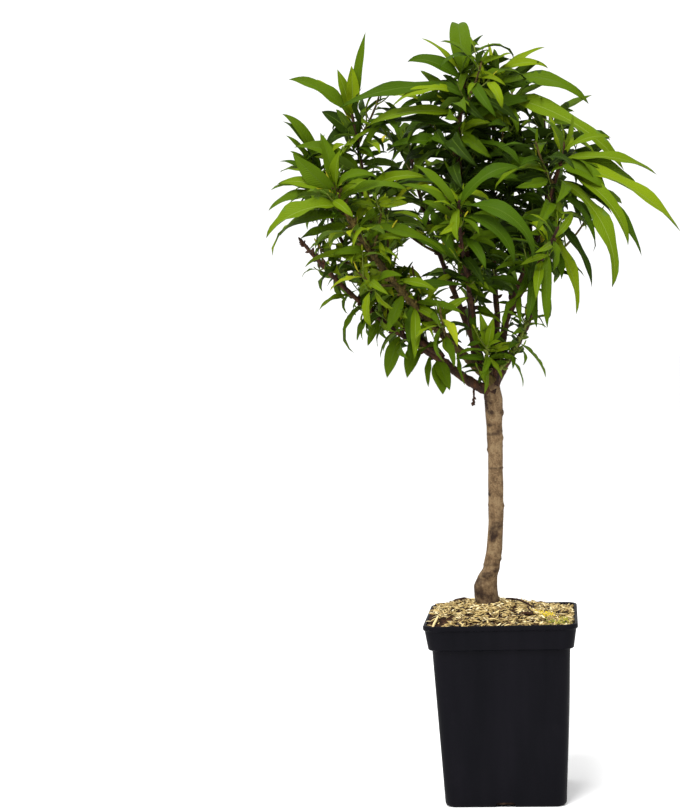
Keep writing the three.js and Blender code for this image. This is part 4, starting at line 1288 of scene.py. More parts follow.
@dataclass
class Boughs:
    """The seven boughs, swollen where they leave the trunk, and the bare spur under the lowest."""

    old: dict[str, Limb] = field(default_factory=lambda: {
        "low_left_bough": limb((-4, 10, 484), (-24, 8, 491), (-42, 5, 505), (-60, 2, 522), 6.2, 5.2),
        "left_front_bough": limb((-6, 6, 498), (-19, 1, 512), (-30, -4, 524), (-40, -9, 534), 5.4, 4.9),
        "centre_bough": limb((-8, 12, 500), (-24, 12, 520), (-25, 11, 550), (-25, 10, 576), 5.8, 4.8),
        "right_bough": limb((0, 10, 496), (6, 6, 520), (11, 4, 545), (15, 2, 566), 5, 4.2),
        "back_centre_bough": limb((-4, 16, 500), (0, 30, 528), (3, 42, 552), (4, 50, 578), 4.6, 3.8),
        "back_left_bough": limb((-8, 16, 496), (-16, 34, 522), (-26, 52, 546), (-36, 66, 570), 4.8, 4),
        "back_right_bough": limb((0, 16, 494), (14, 34, 518), (28, 50, 540), (40, 62, 564), 4.8, 4),
    })
    greening: tuple[str, ...] = ("left_front_bough",)
    spur: Limb = limb((-25, 8, 490), (-26, 6, 482), (-25, 5, 475), (-27, 4, 470), 1.2, 1.1)
    buds: int = 7
    bud: float = 3.8

    def build(self) -> list[Piece]:
        """Builds the boughs and the dead spur.

        Returns:
            Their pieces.
        """
        pile = WoodPile(resolution=3, seed=3)
        for name, shape in self.old.items():
            wood = Wood.GREENING if name in self.greening else Wood.OLD
            pile.add_limb(shape, wood, steps=26, sink=4.0, flare=0.35, knots=4)
        mesh, barks = pile.mesh("bough_bark", rough=0.9, wave=5.0), dressed(BARKS)
        boughs = settle("bough_bark", mesh, barks, list(self.old))
        twig = WoodPile(resolution=2, seed=8)
        twig.add_limb(self.spur, Wood.OLD, steps=14, sink=4.0, flare=0.5, knots=3)
        for i in range(self.buds):
            root = self.spur.at(0.55 + 0.45 * i / (self.buds - 1))
            angle = 2.4 * i
            way = Vector((math.cos(angle), math.sin(angle), -0.9)).normalized()
            twig.add_bud(root, way, self.bud, Wood.OLD)
        mesh = twig.mesh("dead_spur_twig", rough=0.4, wave=1.8)
        return [boughs, settle("dead_spur_twig", mesh, barks, ["dead_spur"])]


# ---------------------------------------------------------------- the rule of growth


@dataclass(frozen=True)
class LeafRule:
    """The rule that every leaf follows, as in the solids."""

    turn: float = 144.0
    wide: float = 0.165
    prime: float = 0.3
    youngest: float = 0.26
    oldest: float = 0.62
    crowding: float = 0.85
    tip_angle: float = 18.0
    side_angle: float = 70.0
    opening: float = 4.0
    tip_droop: float = 16.0
    bending: float = 5.0
    length: Pair = (0.84, 1.1)
    width: Pair = (0.9, 1.14)
    droop: Pair = (0.65, 1.35)
    angle: float = 9.0
    scatter: float = 14.0
    roll: float = 46.0
    veer: float = 0.09
    lift: float = 0.12
    out: float = 0.8
    along: float = 0.25
    up: float = 0.6
    axis: Pair = (-10.0, 20.0)  # the crown's upright axis
    tested: tuple[float, ...] = (0.4, 0.7, 1.0)  # places of a leaf that keep out of the openings
    forward: float = 0.2  # a leaf that heads to the front by more than this is left off a bare front
    shoot: int = 64  # most leaves on a shoot, for their numbers


@dataclass(frozen=True)
class TwigRule:
    """The rule that every twig follows, as in the solids."""

    radius: float = 1.9
    tip: float = 1.1
    angle: float = 52.0
    turn: float = 137.5
    leaves: int = 8
    start: float = 0.3
    end: float = 0.97
    leaf_turn: float = 70.0
    leaf_size: float = 0.78
    shrink: float = 0.75
    stray: Pair = (0.88, 1.12)
    way: Triple = (0.2, 0.5, 0.8)
    rise: float = 0.3
    shoots_per_mass: int = 16
    use: int = 9


LEAF, TWIG = LeafRule(), TwigRule()


@dataclass(frozen=True)
class Twigs:
    """The twigs on a stem: number, first and last place, length and turn of the first, and leaves."""

    count: int
    start: float
    end: float
    long: float
    turn: float
    leaves: int = TWIG.leaves


@dataclass(frozen=True)
class Edge:
    """A leaf on the crown's outline: its place on the stem, its reach, droop, width, roll and tone."""

    at: float
    reach: Triple
    droop: float
    wide: float
    roll: float = 0.0
    # The tone is the leaf's colour, set darker or lighter to paint in some of the shade and light on it.
    tone: int = 4


def edges(*rows: Sequence[float]) -> tuple[Edge, ...]:
    """Returns outline leaves from rows of place, reach right, back and up, droop, width, roll and tone."""
    return tuple(Edge(at, (x, y, z), *rest) for at, x, y, z, *rest in rows)


@dataclass(frozen=True)
class Mass:
    """A mass of foliage: a stem with its leaves, its twigs and the leaves that shape its outline."""

    stem: Limb
    leaves: int
    start: float
    end: float
    long: float
    turn: float
    droop: float
    wide: float = LEAF.wide
    twigs: Twigs | None = None
    bare: Pair = (0.0, 0.0)  # places between which the front of the stem bears no leaf
    sprigs: Triple = (0.08, 0.9, 1.0)  # from where to where, and how many of the usual
    buds: int = 12
    knobs: int = 0  # dead buds that crowd the bare end of the stem
    outline: tuple[Edge, ...] = ()
    wood: Wood = Wood.OLD


@dataclass(frozen=True)
class Opening:
    """A place open to the sky, from the front of the crown to the back.

    Attributes:
        front: how far right and how high its middle is in the plane y = -100.
        back: the same in the plane y = 130.
        wide: half its width.
        high: half its height.
    """

    front: Pair
    back: Pair
    wide: float
    high: float

    def holds(self, spot: Vector) -> bool:
        """Tells whether a point lies in the opening.

        Args:
            spot: the point.

        Returns:
            Whether it does.
        """
        share = (spot.y + 100) / 230
        across = (spot.x - mix(self.front[0], self.back[0], share)) / self.wide
        above = (spot.z - mix(self.front[1], self.back[1], share)) / self.high
        return across * across + above * above < 1


OPENINGS = tuple(Opening((a, b), (c, d), wide, high) for a, b, c, d, wide, high in (
    (-72, 644, -87, 650, 27, 18), (-44, 603, -57, 605, 16, 11), (16, 589, 9, 590, 8, 11),
    (-98, 754, -116, 772, 12, 7), (-87, 697, -104, 709, 20, 8), (-152, 609, -176, 612, 10, 7),
    (-9, 702, -18, 714, 8, 8), (-37, 575, -49, 574, 11, 5), (96, 651, 97, 658, 12, 24),
    (77, 593, 77, 594, 11, 17), (-188, 572, -216, 571, 14, 14), (-218, 665, -248, 674, 13, 10),
    (-241, 656, -274, 663, 14, 11), (-113, 846, -133, 873, 16, 11), (-92, 819, -110, 843, 24, 6),
    (54, 540, 51, 536, 12, 17), (-40, 633, -52, 639, 8, 10), (83, 823, 83, 848, 22, 7),
    (116, 796, 119, 817, 10, 11), (139, 631, 145, 636, 10, 13), (-225, 643, -256, 649, 11, 20),
    (-197, 619, -225, 622, 10, 16),
))


@dataclass(frozen=True)
class Shoot:
    """A stem or twig that bears a spiral of leaves."""

    shape: Limb
    leaves: int
    start: float
    end: float
    turn: float
    size: float
    seed: int
    bare: Pair = (0.0, 0.0)
    broad: float = 1.0


@dataclass(frozen=True)
class Leaf:
    """One leaf: where it grows, which way it heads and faces, its size and bend, and its age from 0 to 1."""

    root: Vector
    heading: Vector
    face: Vector
    length: float
    width: float
    droop: float
    veer: float
    age: float
    seed: int
    tone: int | None = None

    def at(self, share: float) -> Vector:
        """Gives a point of the midrib.

        Args:
            share: share of the way to the tip.

        Returns:
            The point.
        """
        arc, bend = self.length / self.droop, self.droop * share
        side = self.heading.cross(self.face)
        return (self.root + self.heading * (arc * math.sin(bend)) - self.face * (arc * (1 - math.cos(bend)))
                + side * (self.veer * self.length * share * share))

    def in_opening(self) -> bool:
        """Returns whether the leaf would close an opening."""
        return any(o.holds(self.at(share)) for o in OPENINGS for share in LEAF.tested)


def section(along: Vector) -> tuple[Vector, Vector]:
    """Gives the two directions across a limb that leaves are counted from.

    Args:
        along: the limb's direction.

    Returns:
        The one that is nearest to the right, and the one across it.
    """
    right = Vector((1, 0, 0))
    right = (right - along * right.dot(along)).normalized()
    return right, along.cross(right)


def face_for(heading: Vector, root: Vector, along: Vector) -> Vector:
    """Turns a leaf's upper face up, away from the crown's middle and to the twig's tip.

    Args:
        heading: the leaf's direction.
        root: where it grows.
        along: the twig's direction there.

    Returns:
        The way that the face looks.
    """
    face = Vector((root.x - LEAF.axis[0], root.y - LEAF.axis[1], 0)).normalized() * LEAF.out
    face += along * LEAF.along + Vector((0, 0, LEAF.up))
    return (face - heading * face.dot(heading)).normalized()


def around(start: Vector, other: Vector, degrees: float) -> Vector:
    """Returns the direction that is turned from start towards other."""
    angle = math.radians(degrees)
    return start * math.cos(angle) + other * math.sin(angle)


def twigs_of(stem: Limb, rule: Twigs, index: int, seed: int, radius: float = TWIG.radius,
             tip: float = TWIG.tip, size: float = TWIG.leaf_size) -> list[Shoot]:
    """Grows the twigs of a stem by the rule.

    Args:
        stem: the limb that they branch from.
        rule: their number, places, length and turn.
        index: number of the mass, or of the shoot for finer sprigs.
        seed: number of the first of them.
        radius: thickness at the foot.
        tip: thickness at the tip.
        size: length of their leaves as a share of the mass's longest.

    Returns:
        The twigs as shoots.
    """
    found = []
    for k in range(rule.count):
        share = k / (rule.count - 1) if rule.count > 1 else 0.0
        at = mix(rule.start, rule.end, share)
        root, along = stem.at(at), stem.along(at)
        out = around(*section(along), rule.turn + k * TWIG.turn)
        heading = around(along, out, TWIG.angle)
        length = rule.long * mix(1, TWIG.shrink, share) * mix(*TWIG.stray, chance(index, k, TWIG.use))
        low, middle, end = [root + heading * (length * way) for way in TWIG.way]
        end.z += length * TWIG.rise
        found.append(Shoot(
            Limb((root, low, middle, end), radius, tip), rule.leaves, TWIG.start, TWIG.end,
            rule.turn + TWIG.leaf_turn * k, size, seed + k,
        ))
    return found


def spiral(shoot: Shoot, mass: Mass) -> list[Leaf]:
    """Grows the leaves of a shoot: short and close at the tip, and hanging over further down.

    Args:
        shoot: the stem or twig.
        mass: the mass that it belongs to.

    Returns:
        The leaves.
    """
    found = []
    for i in range(shoot.leaves):
        def within(span: Pair, use: int) -> float:
            """Returns the leaf's own value in a span."""
            return mix(*span, chance(shoot.seed, i, use))

        def about(most: float, use: int) -> float:
            """Returns the leaf's own value about zero."""
            return within((-most, most), use)

        age = 1 - i / max(1, shoot.leaves - 1)
        at = mix(shoot.start, shoot.end, (1 - age) ** LEAF.crowding)
        root, along = shoot.shape.at(at), shoot.shape.along(at)
        young = mix(LEAF.youngest, 1, min(1, age / LEAF.prime) ** 0.7)
        grown = young * mix(1, LEAF.oldest, max(0, age - LEAF.prime) / (1 - LEAF.prime))
        length = mass.long * shoot.size * grown * within(LEAF.length, 0)
        width = length * mass.wide * shoot.broad * within(LEAF.width, 5)
        opened = mix(LEAF.tip_angle, LEAF.side_angle, min(1, age * LEAF.opening)) + about(LEAF.angle, 1)
        droop = mix(LEAF.tip_droop, mass.droop, min(1, age * LEAF.bending)) * within(LEAF.droop, 2)
        out = around(*section(along), shoot.turn + i * LEAF.turn + about(LEAF.scatter, 3))
        heading = around(along, out, opened)
        heading.z += LEAF.lift
        heading.normalize()
        face = face_for(heading, root, along)
        face.rotate(Quaternion(heading, math.radians(about(LEAF.roll, 4))))
        leaf = Leaf(root, heading, face, length, width, math.radians(droop), about(LEAF.veer, 6), age,
                    shoot.seed * LEAF.shoot + i)
        hides_wood = shoot.bare[0] < at < shoot.bare[1] and -heading.y > LEAF.forward
        if not hides_wood and not leaf.in_opening():
            found.append(leaf)
    return found


def outline_leaf(edge: Edge, mass: Mass, seed: int) -> Leaf:
    """Grows a leaf of the outline from its reach: the heading is turned up by half of the droop.

    Args:
        edge: the leaf's line.
        mass: the mass that it belongs to.
        seed: the leaf's own number.

    Returns:
        The leaf.
    """
    chord, half = Vector(edge.reach), math.radians(edge.droop) / 2
    straight, root = chord.normalized(), mass.stem.at(edge.at)
    face = face_for(straight, root, mass.stem.along(edge.at))
    face.rotate(Quaternion(straight, math.radians(edge.roll)))
    heading = straight * math.cos(half) + face * math.sin(half)
    turned = face * math.cos(half) - straight * math.sin(half)
    length = chord.length * half / math.sin(half)
    return Leaf(root, heading, turned, length, length * edge.wide, 2 * half, 0.0, 0.3, seed, edge.tone)


MASSES: dict[str, Mass] = {
    "left_low": Mass(
        limb((-60, 2, 522), (-100, 4, 548), (-165, 12, 590), (-231, 25, 675), 4.9, 2.3),
        9, 0.28, 0.62, 46, 250, 56, 0.24, Twigs(1, 0.84, 0.84, 42, 80, 0), sprigs=(0.28, 0.56, 0.6),
        buds=34, knobs=16, outline=edges(
            (0.05, 5, -20, -43, 20, 0.45, -60, 3), (0.12, -3, -10, -40, 30, 0.2, -50, 3),
            (0.2, -11, -14, -29, 24, 0.3, -60, 3), (0.26, -8, -16, -42, 20, 0.34, -80, 3),
            (0.36, -16, -14, -53, 20, 0.34, -60, 3), (0.5, -15, -8, -33, 20, 0.3, -70, 3),
            (0.56, -18, 4, -36, 30, 0.26, -40, 3), (0.61, -23, -12, -37, 40, 0.24, -40, 3),
            (0.68, -40, -10, -19, 70, 0.2, -55), (0.07, 16, -22, -40, 20, 0.34, -60, 3),
        ),
    ),
    "left_upper": Mass(
        limb((-65, 8, 529), (-128, 16, 575), (-140, 18, 680), (-164, 20, 836), 4.4, 1.8),
        34, 0.16, 0.985, 104, 20, 86, twigs=Twigs(5, 0.26, 0.9, 84, 150), outline=edges(
            (0.965, 20, -6, 100, 14, 0.13, 80, 3), (0.965, -16, -8, 57, 14, 0.24, 135),
            (0.965, 2, -14, 60, 14, 0.27, 120, 5), (0.96, -78, -6, 48, 60, 0.19, -60, 3),
            (0.95, -45, 8, 54, 40, 0.15, 75, 6), (0.84, 50, -12, 62, 60, 0.14, 55, 3),
            (0.88, 25, -24, -17, 80, 0.2, 10), (0.8, -84, -14, 34, 70, 0.2, -65, 3),
            (0.84, 32, 10, 10, 60, 0.22, 60, 2), (0.94, -34, -12, -22, 36, 0.36, -65, 1),
            (0.91, -41, -6, 32, 40, 0.4, -105, 1), (0.9, -4, -16, -14, 50, 0.3, -75, 2),
        ),
    ),
    "left_front": Mass(
        limb((-40, -9, 534), (-86, -34, 584), (-146, -62, 648), (-177, -80, 734), 4.9, 3.7),
        40, 0.05, 0.985, 86, 64, 80, 0.19, Twigs(5, 0.1, 0.84, 64, 300), (0.1, 0.9), buds=84,
        wood=Wood.GREENING, outline=edges(
            (0.965, -16, -6, 68, 30, 0.24, 80, 3), (0.965, 10, -24, 46, 26, 0.36, 35),
            (0.96, 57, -22, 10, 130, 0.15, 20, 3), (0.93, -72, -4, 18, 66, 0.2, -10),
            (0.9, -89, -20, -40, 76, 0.26, -30), (0.84, -82, -8, -22, 80, 0.24, -25, 3),
            (0.92, 85, -20, 4, 80, 0.17, 15, 3), (0.78, 51, 10, 24, 70, 0.18, 30, 3),
            (0.8, 108, 8, -43, 60, 0.12, 5, 3), (0.8, 20, -16, -11, 30, 0.26, -60),
            (0.68, -42, -12, -5, 30, 0.24, -50, 3), (0.66, -30, -10, -9, 30, 0.24, -50),
            (0.63, -85, 10, -11, 70, 0.14, -15), (0.68, 37, -14, -17, 70, 0.18, -15),
            (0.64, 23, 6, -12, 50, 0.22, 10, 2), (0.53, -36, -14, -17, 40, 0.2, -30),
            (0.49, 52, -16, -15, 60, 0.2, -5), (0.47, -30, -16, -20, 40, 0.22, -30, 3),
            (0.44, 76, 14, 2, 30, 0.15, 30, 2), (0.43, 13, 24, 36, 20, 0.36, 0, 1),
            (0.42, -20, -18, -46, 30, 0.26, -60, 3), (0.36, -5, -10, -50, 20, 0.24, -60, 2),
            (0.36, 64, -4, -20, 50, 0.18, -5, 3), (0.34, -1, -24, -64, 40, 0.18, -60),
            (0.3, 32, -6, 11, 40, 0.2, 30, 2), (0.12, 16, -20, -26, 80, 0.2, 15),
            (0.14, 23, 8, -12, 30, 0.24, 30, 1), (0.02, 9, -20, -43, 20, 0.12, -5, 3),
            (0.8, -64, -6, -15, 40, 0.22, -20, 3), (0.93, -51, -16, 54, 36, 0.3, -10, 3),
        ),
    ),
    "left_outer": Mass(
        limb((-66, -3, 532), (-122, -12, 566), (-186, 34, 652), (-214, 44, 764), 3.8, 1.8),
        34, 0.24, 0.985, 98, 130, 84, twigs=Twigs(3, 0.36, 0.84, 64, 30), outline=edges(
            (0.97, -40, -20, 74, 74, 0.18, -175, 3), (0.93, -44, -16, 78, 74, 0.18, -175, 2),
            (0.96, -31, -14, 32, 50, 0.2, -140, 3), (0.95, -46, -10, 23, 60, 0.18, -85, 2),
            (0.92, -52, -12, 4, 60, 0.19, -70, 3), (0.9, -66, -6, -22, 66, 0.23, -60, 3),
            (0.76, -5, -20, -26, 20, 0.3, -60, 6), (0.93, -39, -14, 61, 50, 0.15, -170, 3),
        ),
    ),
    "front": Mass(
        limb((-23, 2, 577), (-27, -14, 612), (-35, -54, 664), (-32, -86, 706), 3, 1.8),
        22, 0.26, 0.985, 76, 10, 76, outline=edges(
            (0.96, 0, -22, -41, 40, 0.3, 20), (0.93, -53, 14, 55, 50, 0.15, 20, 3),
            (0.9, -72, -4, 34, 56, 0.15, 10, 3), (0.95, 83, -20, -72, 120, 0.16, -20, 2),
            (0.87, 62, -26, -64, 110, 0.15, -20, 2), (0.95, 79, 10, 37, 110, 0.16, 0, 2),
            (0.5, -69, -8, 39, 40, 0.13, -20, 2),
        ),
    ),
    "centre_top": Mass(
        limb((-25, 10, 576), (-28, 8, 660), (-46, 6, 765), (-22, 0, 868), 4.6, 2),
        38, 0.12, 0.985, 114, 36, 90, twigs=Twigs(5, 0.14, 0.84, 88, 112), outline=edges(
            (0.965, -7, 46, 66, 116, 0.26, 20, 3), (0.96, -51, -4, 50, 44, 0.12, 25, 5),
            (0.95, -69, 8, 26, 76, 0.24, 0, 2), (0.93, -147, -30, -24, 44, 0.12, -20, 2),
            (0.91, -85, -26, -20, 80, 0.16, -25, 5), (0.89, -78, 8, -14, 60, 0.16, -20, 2),
            (0.83, -116, -14, -17, 60, 0.16, -25), (0.78, -104, -8, 0, 50, 0.15, -20, 1),
            (0.7, -84, -10, 1, 60, 0.17, -25, 2), (0.96, 52, -26, -16, 90, 0.14, 5, 5),
            (0.14, 21, -14, -16, 40, 0.26, 30, 3), (0.1, 9, -16, -3, 30, 0.3, 30, 2),
            (0.04, 27, -14, -12, 50, 0.26, -5, 3), (0.01, 37, -16, -16, 60, 0.26, -10),
            (0.02, 7, -16, -25, 40, 0.3, -5, 2), (0.01, 26, -20, -48, 40, 0.28, 40, 3),
        ),
    ),
    "upper_right": Mass(
        limb((4, 50, 578), (-4, 66, 680), (10, 60, 780), (6, 34, 868), 3.7, 1.8),
        38, 0.14, 0.985, 110, 91, 90, twigs=Twigs(5, 0.16, 0.86, 90, 10), outline=edges(
            (0.965, 29, -14, 28, 110, 0.15, 125, 5), (0.96, -4, 6, 47, 30, 0.16, -90, 6),
            (0.96, 72, -10, 6, 104, 0.14, 90, 5), (0.96, 66, 8, 37, 40, 0.13, 100, 5),
            (0.94, 117, -24, -37, 84, 0.14, 80, 3), (0.9, 153, -34, -106, 58, 0.12, 80),
            (0.88, 69, 14, 19, 60, 0.14, 85, 2),
        ),
    ),
    "right": Mass(
        limb((15, 2, 566), (36, -8, 625), (72, -22, 690), (90, -30, 772), 4, 2),
        32, 0.26, 0.985, 110, 0, 92, twigs=Twigs(3, 0.42, 0.8, 68, 300), sprigs=(0.3, 0.9, 0.6),
        outline=edges(
            (0.965, 58, 0, 12, 70, 0.17, 20), (0.93, 111, 6, -26, 56, 0.15, 25),
            (0.92, 135, -18, -93, 50, 0.14, 30, 5), (0.9, 53, -26, -35, 66, 0.34, 40, 3),
            (0.93, 89, 22, -49, 84, 0.14, 30, 3), (0.88, 76, -26, -99, 80, 0.13, 30),
            (0.84, 56, -24, -139, 90, 0.12, 25), (0.83, 64, 4, -46, 60, 0.1, 30, 1),
            (0.78, 46, -40, -71, 70, 0.13, 30, 2), (0.6, 34, -20, -111, 60, 0.12, 20, 5),
            (0.66, 49, -6, -93, 60, 0.1, 25, 1), (0.66, 29, -30, -13, 110, 0.2, 80, 3),
            (0.12, -18, -14, 2, 50, 0.2, -20, 2), (0.9, 90, -16, -114, 56, 0.1, 30, 2),
        ),
    ),
    "right_low": Mass(
        limb((18, -4, 572), (36, -32, 604), (62, -70, 636), (80, -94, 672), 3, 1.6),
        22, 0.16, 0.985, 78, 331, 80, twigs=Twigs(1, 0.4, 0.4, 50, 60), sprigs=(0.3, 0.9, 0.7),
        outline=edges(
            (0.8, -3, -16, -93, 40, 0.13, 40, 3), (0.5, 4, -22, -62, 34, 0.16, 40, 2),
            (0.9, -2, -14, -39, 50, 0.26, -10, 3), (0.45, -18, -10, -23, 40, 0.22, 0, 3),
            (0.3, -21, -12, -43, 60, 0.2, 55, 3),
        ),
    ),
    "back_left": Mass(
        limb((-36, 66, 570), (-62, 106, 640), (-92, 126, 710), (-104, 132, 796), 4, 1.8),
        34, 0.08, 0.985, 100, 75, 88, twigs=Twigs(4, 0.18, 0.84, 80, 60),
    ),
    "back_right": Mass(
        limb((40, 62, 564), (66, 92, 640), (74, 108, 740), (66, 100, 822), 4, 1.8),
        34, 0.2, 0.985, 100, 15, 88, twigs=Twigs(4, 0.3, 0.84, 84, 20), sprigs=(0.24, 0.9, 0.8),
        outline=edges((0.95, 73, -6, -28, 70, 0.15, 80, 3)),
    ),
    "fork_left": Mass(
        limb((-11, 4, 506), (-10, -8, 515), (-7, -16, 525), (-6, -22, 540), 2.4, 1.4),
        16, 0.3, 0.985, 48, 200, 60, 0.22, wood=Wood.YOUNG, outline=edges(
            (0.7, 17, -6, -30, 46, 0.22, -15), (0.5, -4, -12, -38, 20, 0.22, -70),
            (0.9, -8, -10, 44, 20, 0.24), (0.9, 9, -14, 38, 24, 0.26), (0.8, 22, -16, 25, 40, 0.26, 0, 3),
        ),
    ),
    "fork_right": Mass(
        limb((6, 4, 510), (20, -4, 524), (34, -8, 545), (42, -10, 572), 2.4, 1.4),
        17, 0.26, 0.985, 52, 120, 68, 0.19, wood=Wood.YOUNG,
        outline=edges((0.3, 14, -10, -36, 46, 0.19, -50), (0.6, 30, -8, -44, 40, 0.19, -40)),
    ),
}


# ---------------------------------------------------------------- crown


@dataclass
class Foliage:
    """Turns leaves into one mesh: a folded blade on a stalk, with a midrib and a paler underside."""

    places: tuple[float, ...] = (0.0, 0.08, 0.16, 0.28, 0.42, 0.58, 0.75, 0.9, 1.0)  # along the leaf
    aside: tuple[float, ...] = (0.035, 0.55, 1.0, 0.05, -0.05, -1.0, -0.55, -0.035)
    rise: tuple[float, ...] = (0.02, 0.66, 1.0, 0.0, 0.0, 1.0, 0.66, 0.02)
    across: tuple[float, ...] = (0.47, 0.25, 0.0, 0.46, 0.54, 1.0, 0.75, 0.53, 0.47)  # U at each corner
    keel: float = 0.011  # depth of the midrib under the blade, as a share of length
    keel_corners: tuple[int, int] = (3, 4)
    stalk: float = 0.8  # mm
    wave: float = 0.028  # height of the edge's waves as a share of length
    curl: float = 24.0  # most that a leaf twists from root to tip, in degrees
    petiole: float = 0.07  # share of the length
    shoulder: float = 0.82  # under 1, the leaf is widest before its middle
    fullness: float = 0.9  # under 1, the leaf is blunter
    even: float = 0.7  # share of the droop that is spread evenly
    late: float = 0.45  # share of the droop that comes towards the tip
    fine: int = 80  # steps in which a leaf's bend is added up
    ages: tuple[tuple[float, float, int, int], ...] = (
        (0.12, 0.55, 6, 5), (0.3, 0.3, 5, 4), (0.6, 0.3, 4, 3), (math.inf, 0.35, 3, 2),
    )  # up to which age, what share has the lighter tone, and both tones
    lifted: int = 5  # a spray's lightness, with its painted light and shade, takes a leaf no further than this, or by one tone
    yellowed: float = 0.006  # share of leaves that are turning

    def blade(self) -> Blade:
        """Returns the body that is repeated.

        The corners round it are the rib, blade and edge to one side, both sides of the keel, and back up.
        """
        return Blade(8, len(self.places) - 1, (1, 1, 2, 3, 2, 1, 1, 0), (2, 5))

    def breadth(self) -> np.ndarray:
        """Returns the share of the full width at each place."""
        past = np.clip((np.array(self.places) - self.petiole) / (1 - self.petiole), 0.0, 1.0)
        return np.abs(np.sin(math.pi * past**self.shoulder)) ** self.fullness

    def run(self, rate: np.ndarray) -> np.ndarray:
        """Returns how far each leaf has gone at each fine step, from its rate there."""
        steps = (rate[:, 1:] + rate[:, :-1]) / (2 * self.fine)
        return np.concatenate([np.zeros((len(rate), 1)), np.cumsum(steps, 1)], 1)

    def points(self, leaves: Sequence[Leaf], shape: Arrays) -> np.ndarray:
        """Bends, folds and twists every leaf.

        Args:
            leaves: the leaves.
            shape: the blade's arrays.

        Returns:
            The vertices of every leaf, in metres.
        """
        corner, step = shape["corner"], shape["step"]
        s = np.array(self.places)[step][None]
        aside, rise = (
            np.where(corner < 0, 0.0, np.array(line)[corner])[None] for line in (self.aside, self.rise))
        under = np.isin(corner, self.keel_corners)[None] * 1.0
        breadth = self.breadth()[step][None]

        def column(values: Iterable[float]) -> np.ndarray:
            """Returns a value for each leaf as a column."""
            return np.array(list(values))[:, None]

        def scatter(use: int, low: float, high: float) -> np.ndarray:
            """Returns a value for each leaf between two bounds."""
            return column(mix(low, high, chance(leaf.seed, 77, use)) for leaf in leaves)

        length, width, droop, veer = (
            column(getattr(leaf, key) for leaf in leaves) for key in ("length", "width", "droop", "veer"))
        root, heading, face = (
            np.array([tuple(getattr(leaf, key)) for leaf in leaves])[:, None, :]
            for key in ("root", "heading", "face"))
        side = np.cross(heading, face)
        fine = np.linspace(0, 1, self.fine + 1)[None]
        turning = droop * (self.even * fine + self.late * fine**3)
        spot = np.rint(np.array(self.places)[step] * self.fine).astype(int)
        bend = turning[:, spot]
        ahead = length * self.run(np.cos(turning))[:, spot]
        down = -length * self.run(np.sin(turning))[:, spot]
        middle_line = root + heading * ahead[..., None] + face * down[..., None]
        middle_line = middle_line + side * (veer * length * s * s)[..., None]
        up = face * np.cos(bend)[..., None] + heading * np.sin(bend)[..., None]
        twist = np.radians(scatter(0, -self.curl, self.curl)) * s
        turned_up = up * np.cos(twist)[..., None] + side * np.sin(twist)[..., None]
        turned_side = side * np.cos(twist)[..., None] - up * np.sin(twist)[..., None]
        half = np.where((s > 0) & (s < 1), np.maximum(breadth * width / 2, self.stalk), 0.0)
        fold = scatter(1, 0.12, 0.5)
        ripple = np.sin(2 * math.pi * (scatter(2, 1.6, 2.8) * s + scatter(3, 0, 1) + 0.21 * np.sign(aside)))
        wavy = self.wave * length * ripple * np.abs(aside) ** 2 * breadth * scatter(4, 0.3, 1.0)
        raised = half * rise * fold + wavy - under * (self.keel * length * np.sqrt(breadth) + 0.25)
        out = middle_line + turned_side * (half * aside)[..., None] + turned_up * raised[..., None]
        return out * MM

    def tone(self, leaf: Leaf, lighter: int) -> int:
        """Chooses a leaf's colour.

        Args:
            leaf: the leaf.
            lighter: how many tones lighter its spray is.

        Returns:
            The number of the tone.
        """
        if chance(leaf.seed, 92, 1) < self.yellowed:
            return len(Tone) - 1
        if leaf.tone is not None:
            return leaf.tone
        _, share, light, dark = next(row for row in self.ages if leaf.age < row[0])
        own = light if chance(leaf.seed, 91, 1) < share else dark
        return int(limited(min(own + lighter, max(own + 1, self.lifted)), 0, len(Tone) - 1))

    def mesh(self, name: str, leaves: Sequence[Leaf], shape: Arrays, spray: dict[int, int]) -> Mesh:
        """Makes leaves one mesh, with their colours dealt out spray by spray.

        Args:
            name: the mesh's name.
            leaves: the leaves.
            shape: the blade's arrays.
            spray: for each shoot's number, how many tones lighter it is.

        Returns:
            The mesh.
        """
        rows = []
        for leaf in leaves:
            tone = self.tone(leaf, spray.get(leaf.seed // LEAF.shoot, 0))
            rib = len(Tone) + (tone > 3)
            rows.append(np.choose(shape["kinds"], [rib, tone, rib + len(Rib), rib]))
        return joined(name, shape, self.points(leaves, shape), np.array(rows),
                      lambda u: np.interp(u, np.arange(len(self.across)), self.across))

    def materials(self) -> list[bpy.types.Material]:
        """Makes the materials of all leaves.

        Returns:
            The materials, in the order of their slots.
        """
        return dressed([
            *[LeafBlade(f"leaf_{t.name.lower()}", t.value, (0.4, 0.6), 2.0, 0.35, gloss=0.05) for t in Tone],
            *[Plain(f"midrib_{r.name.lower()}", r.value, (0.45, 0.6), gloss=0.1) for r in Rib],
            *[Plain(f"leaf_underside_{u.name.lower()}", u.value, (0.6, 0.75), depth=0.2, gloss=0.05)
              for u in Under],
        ])


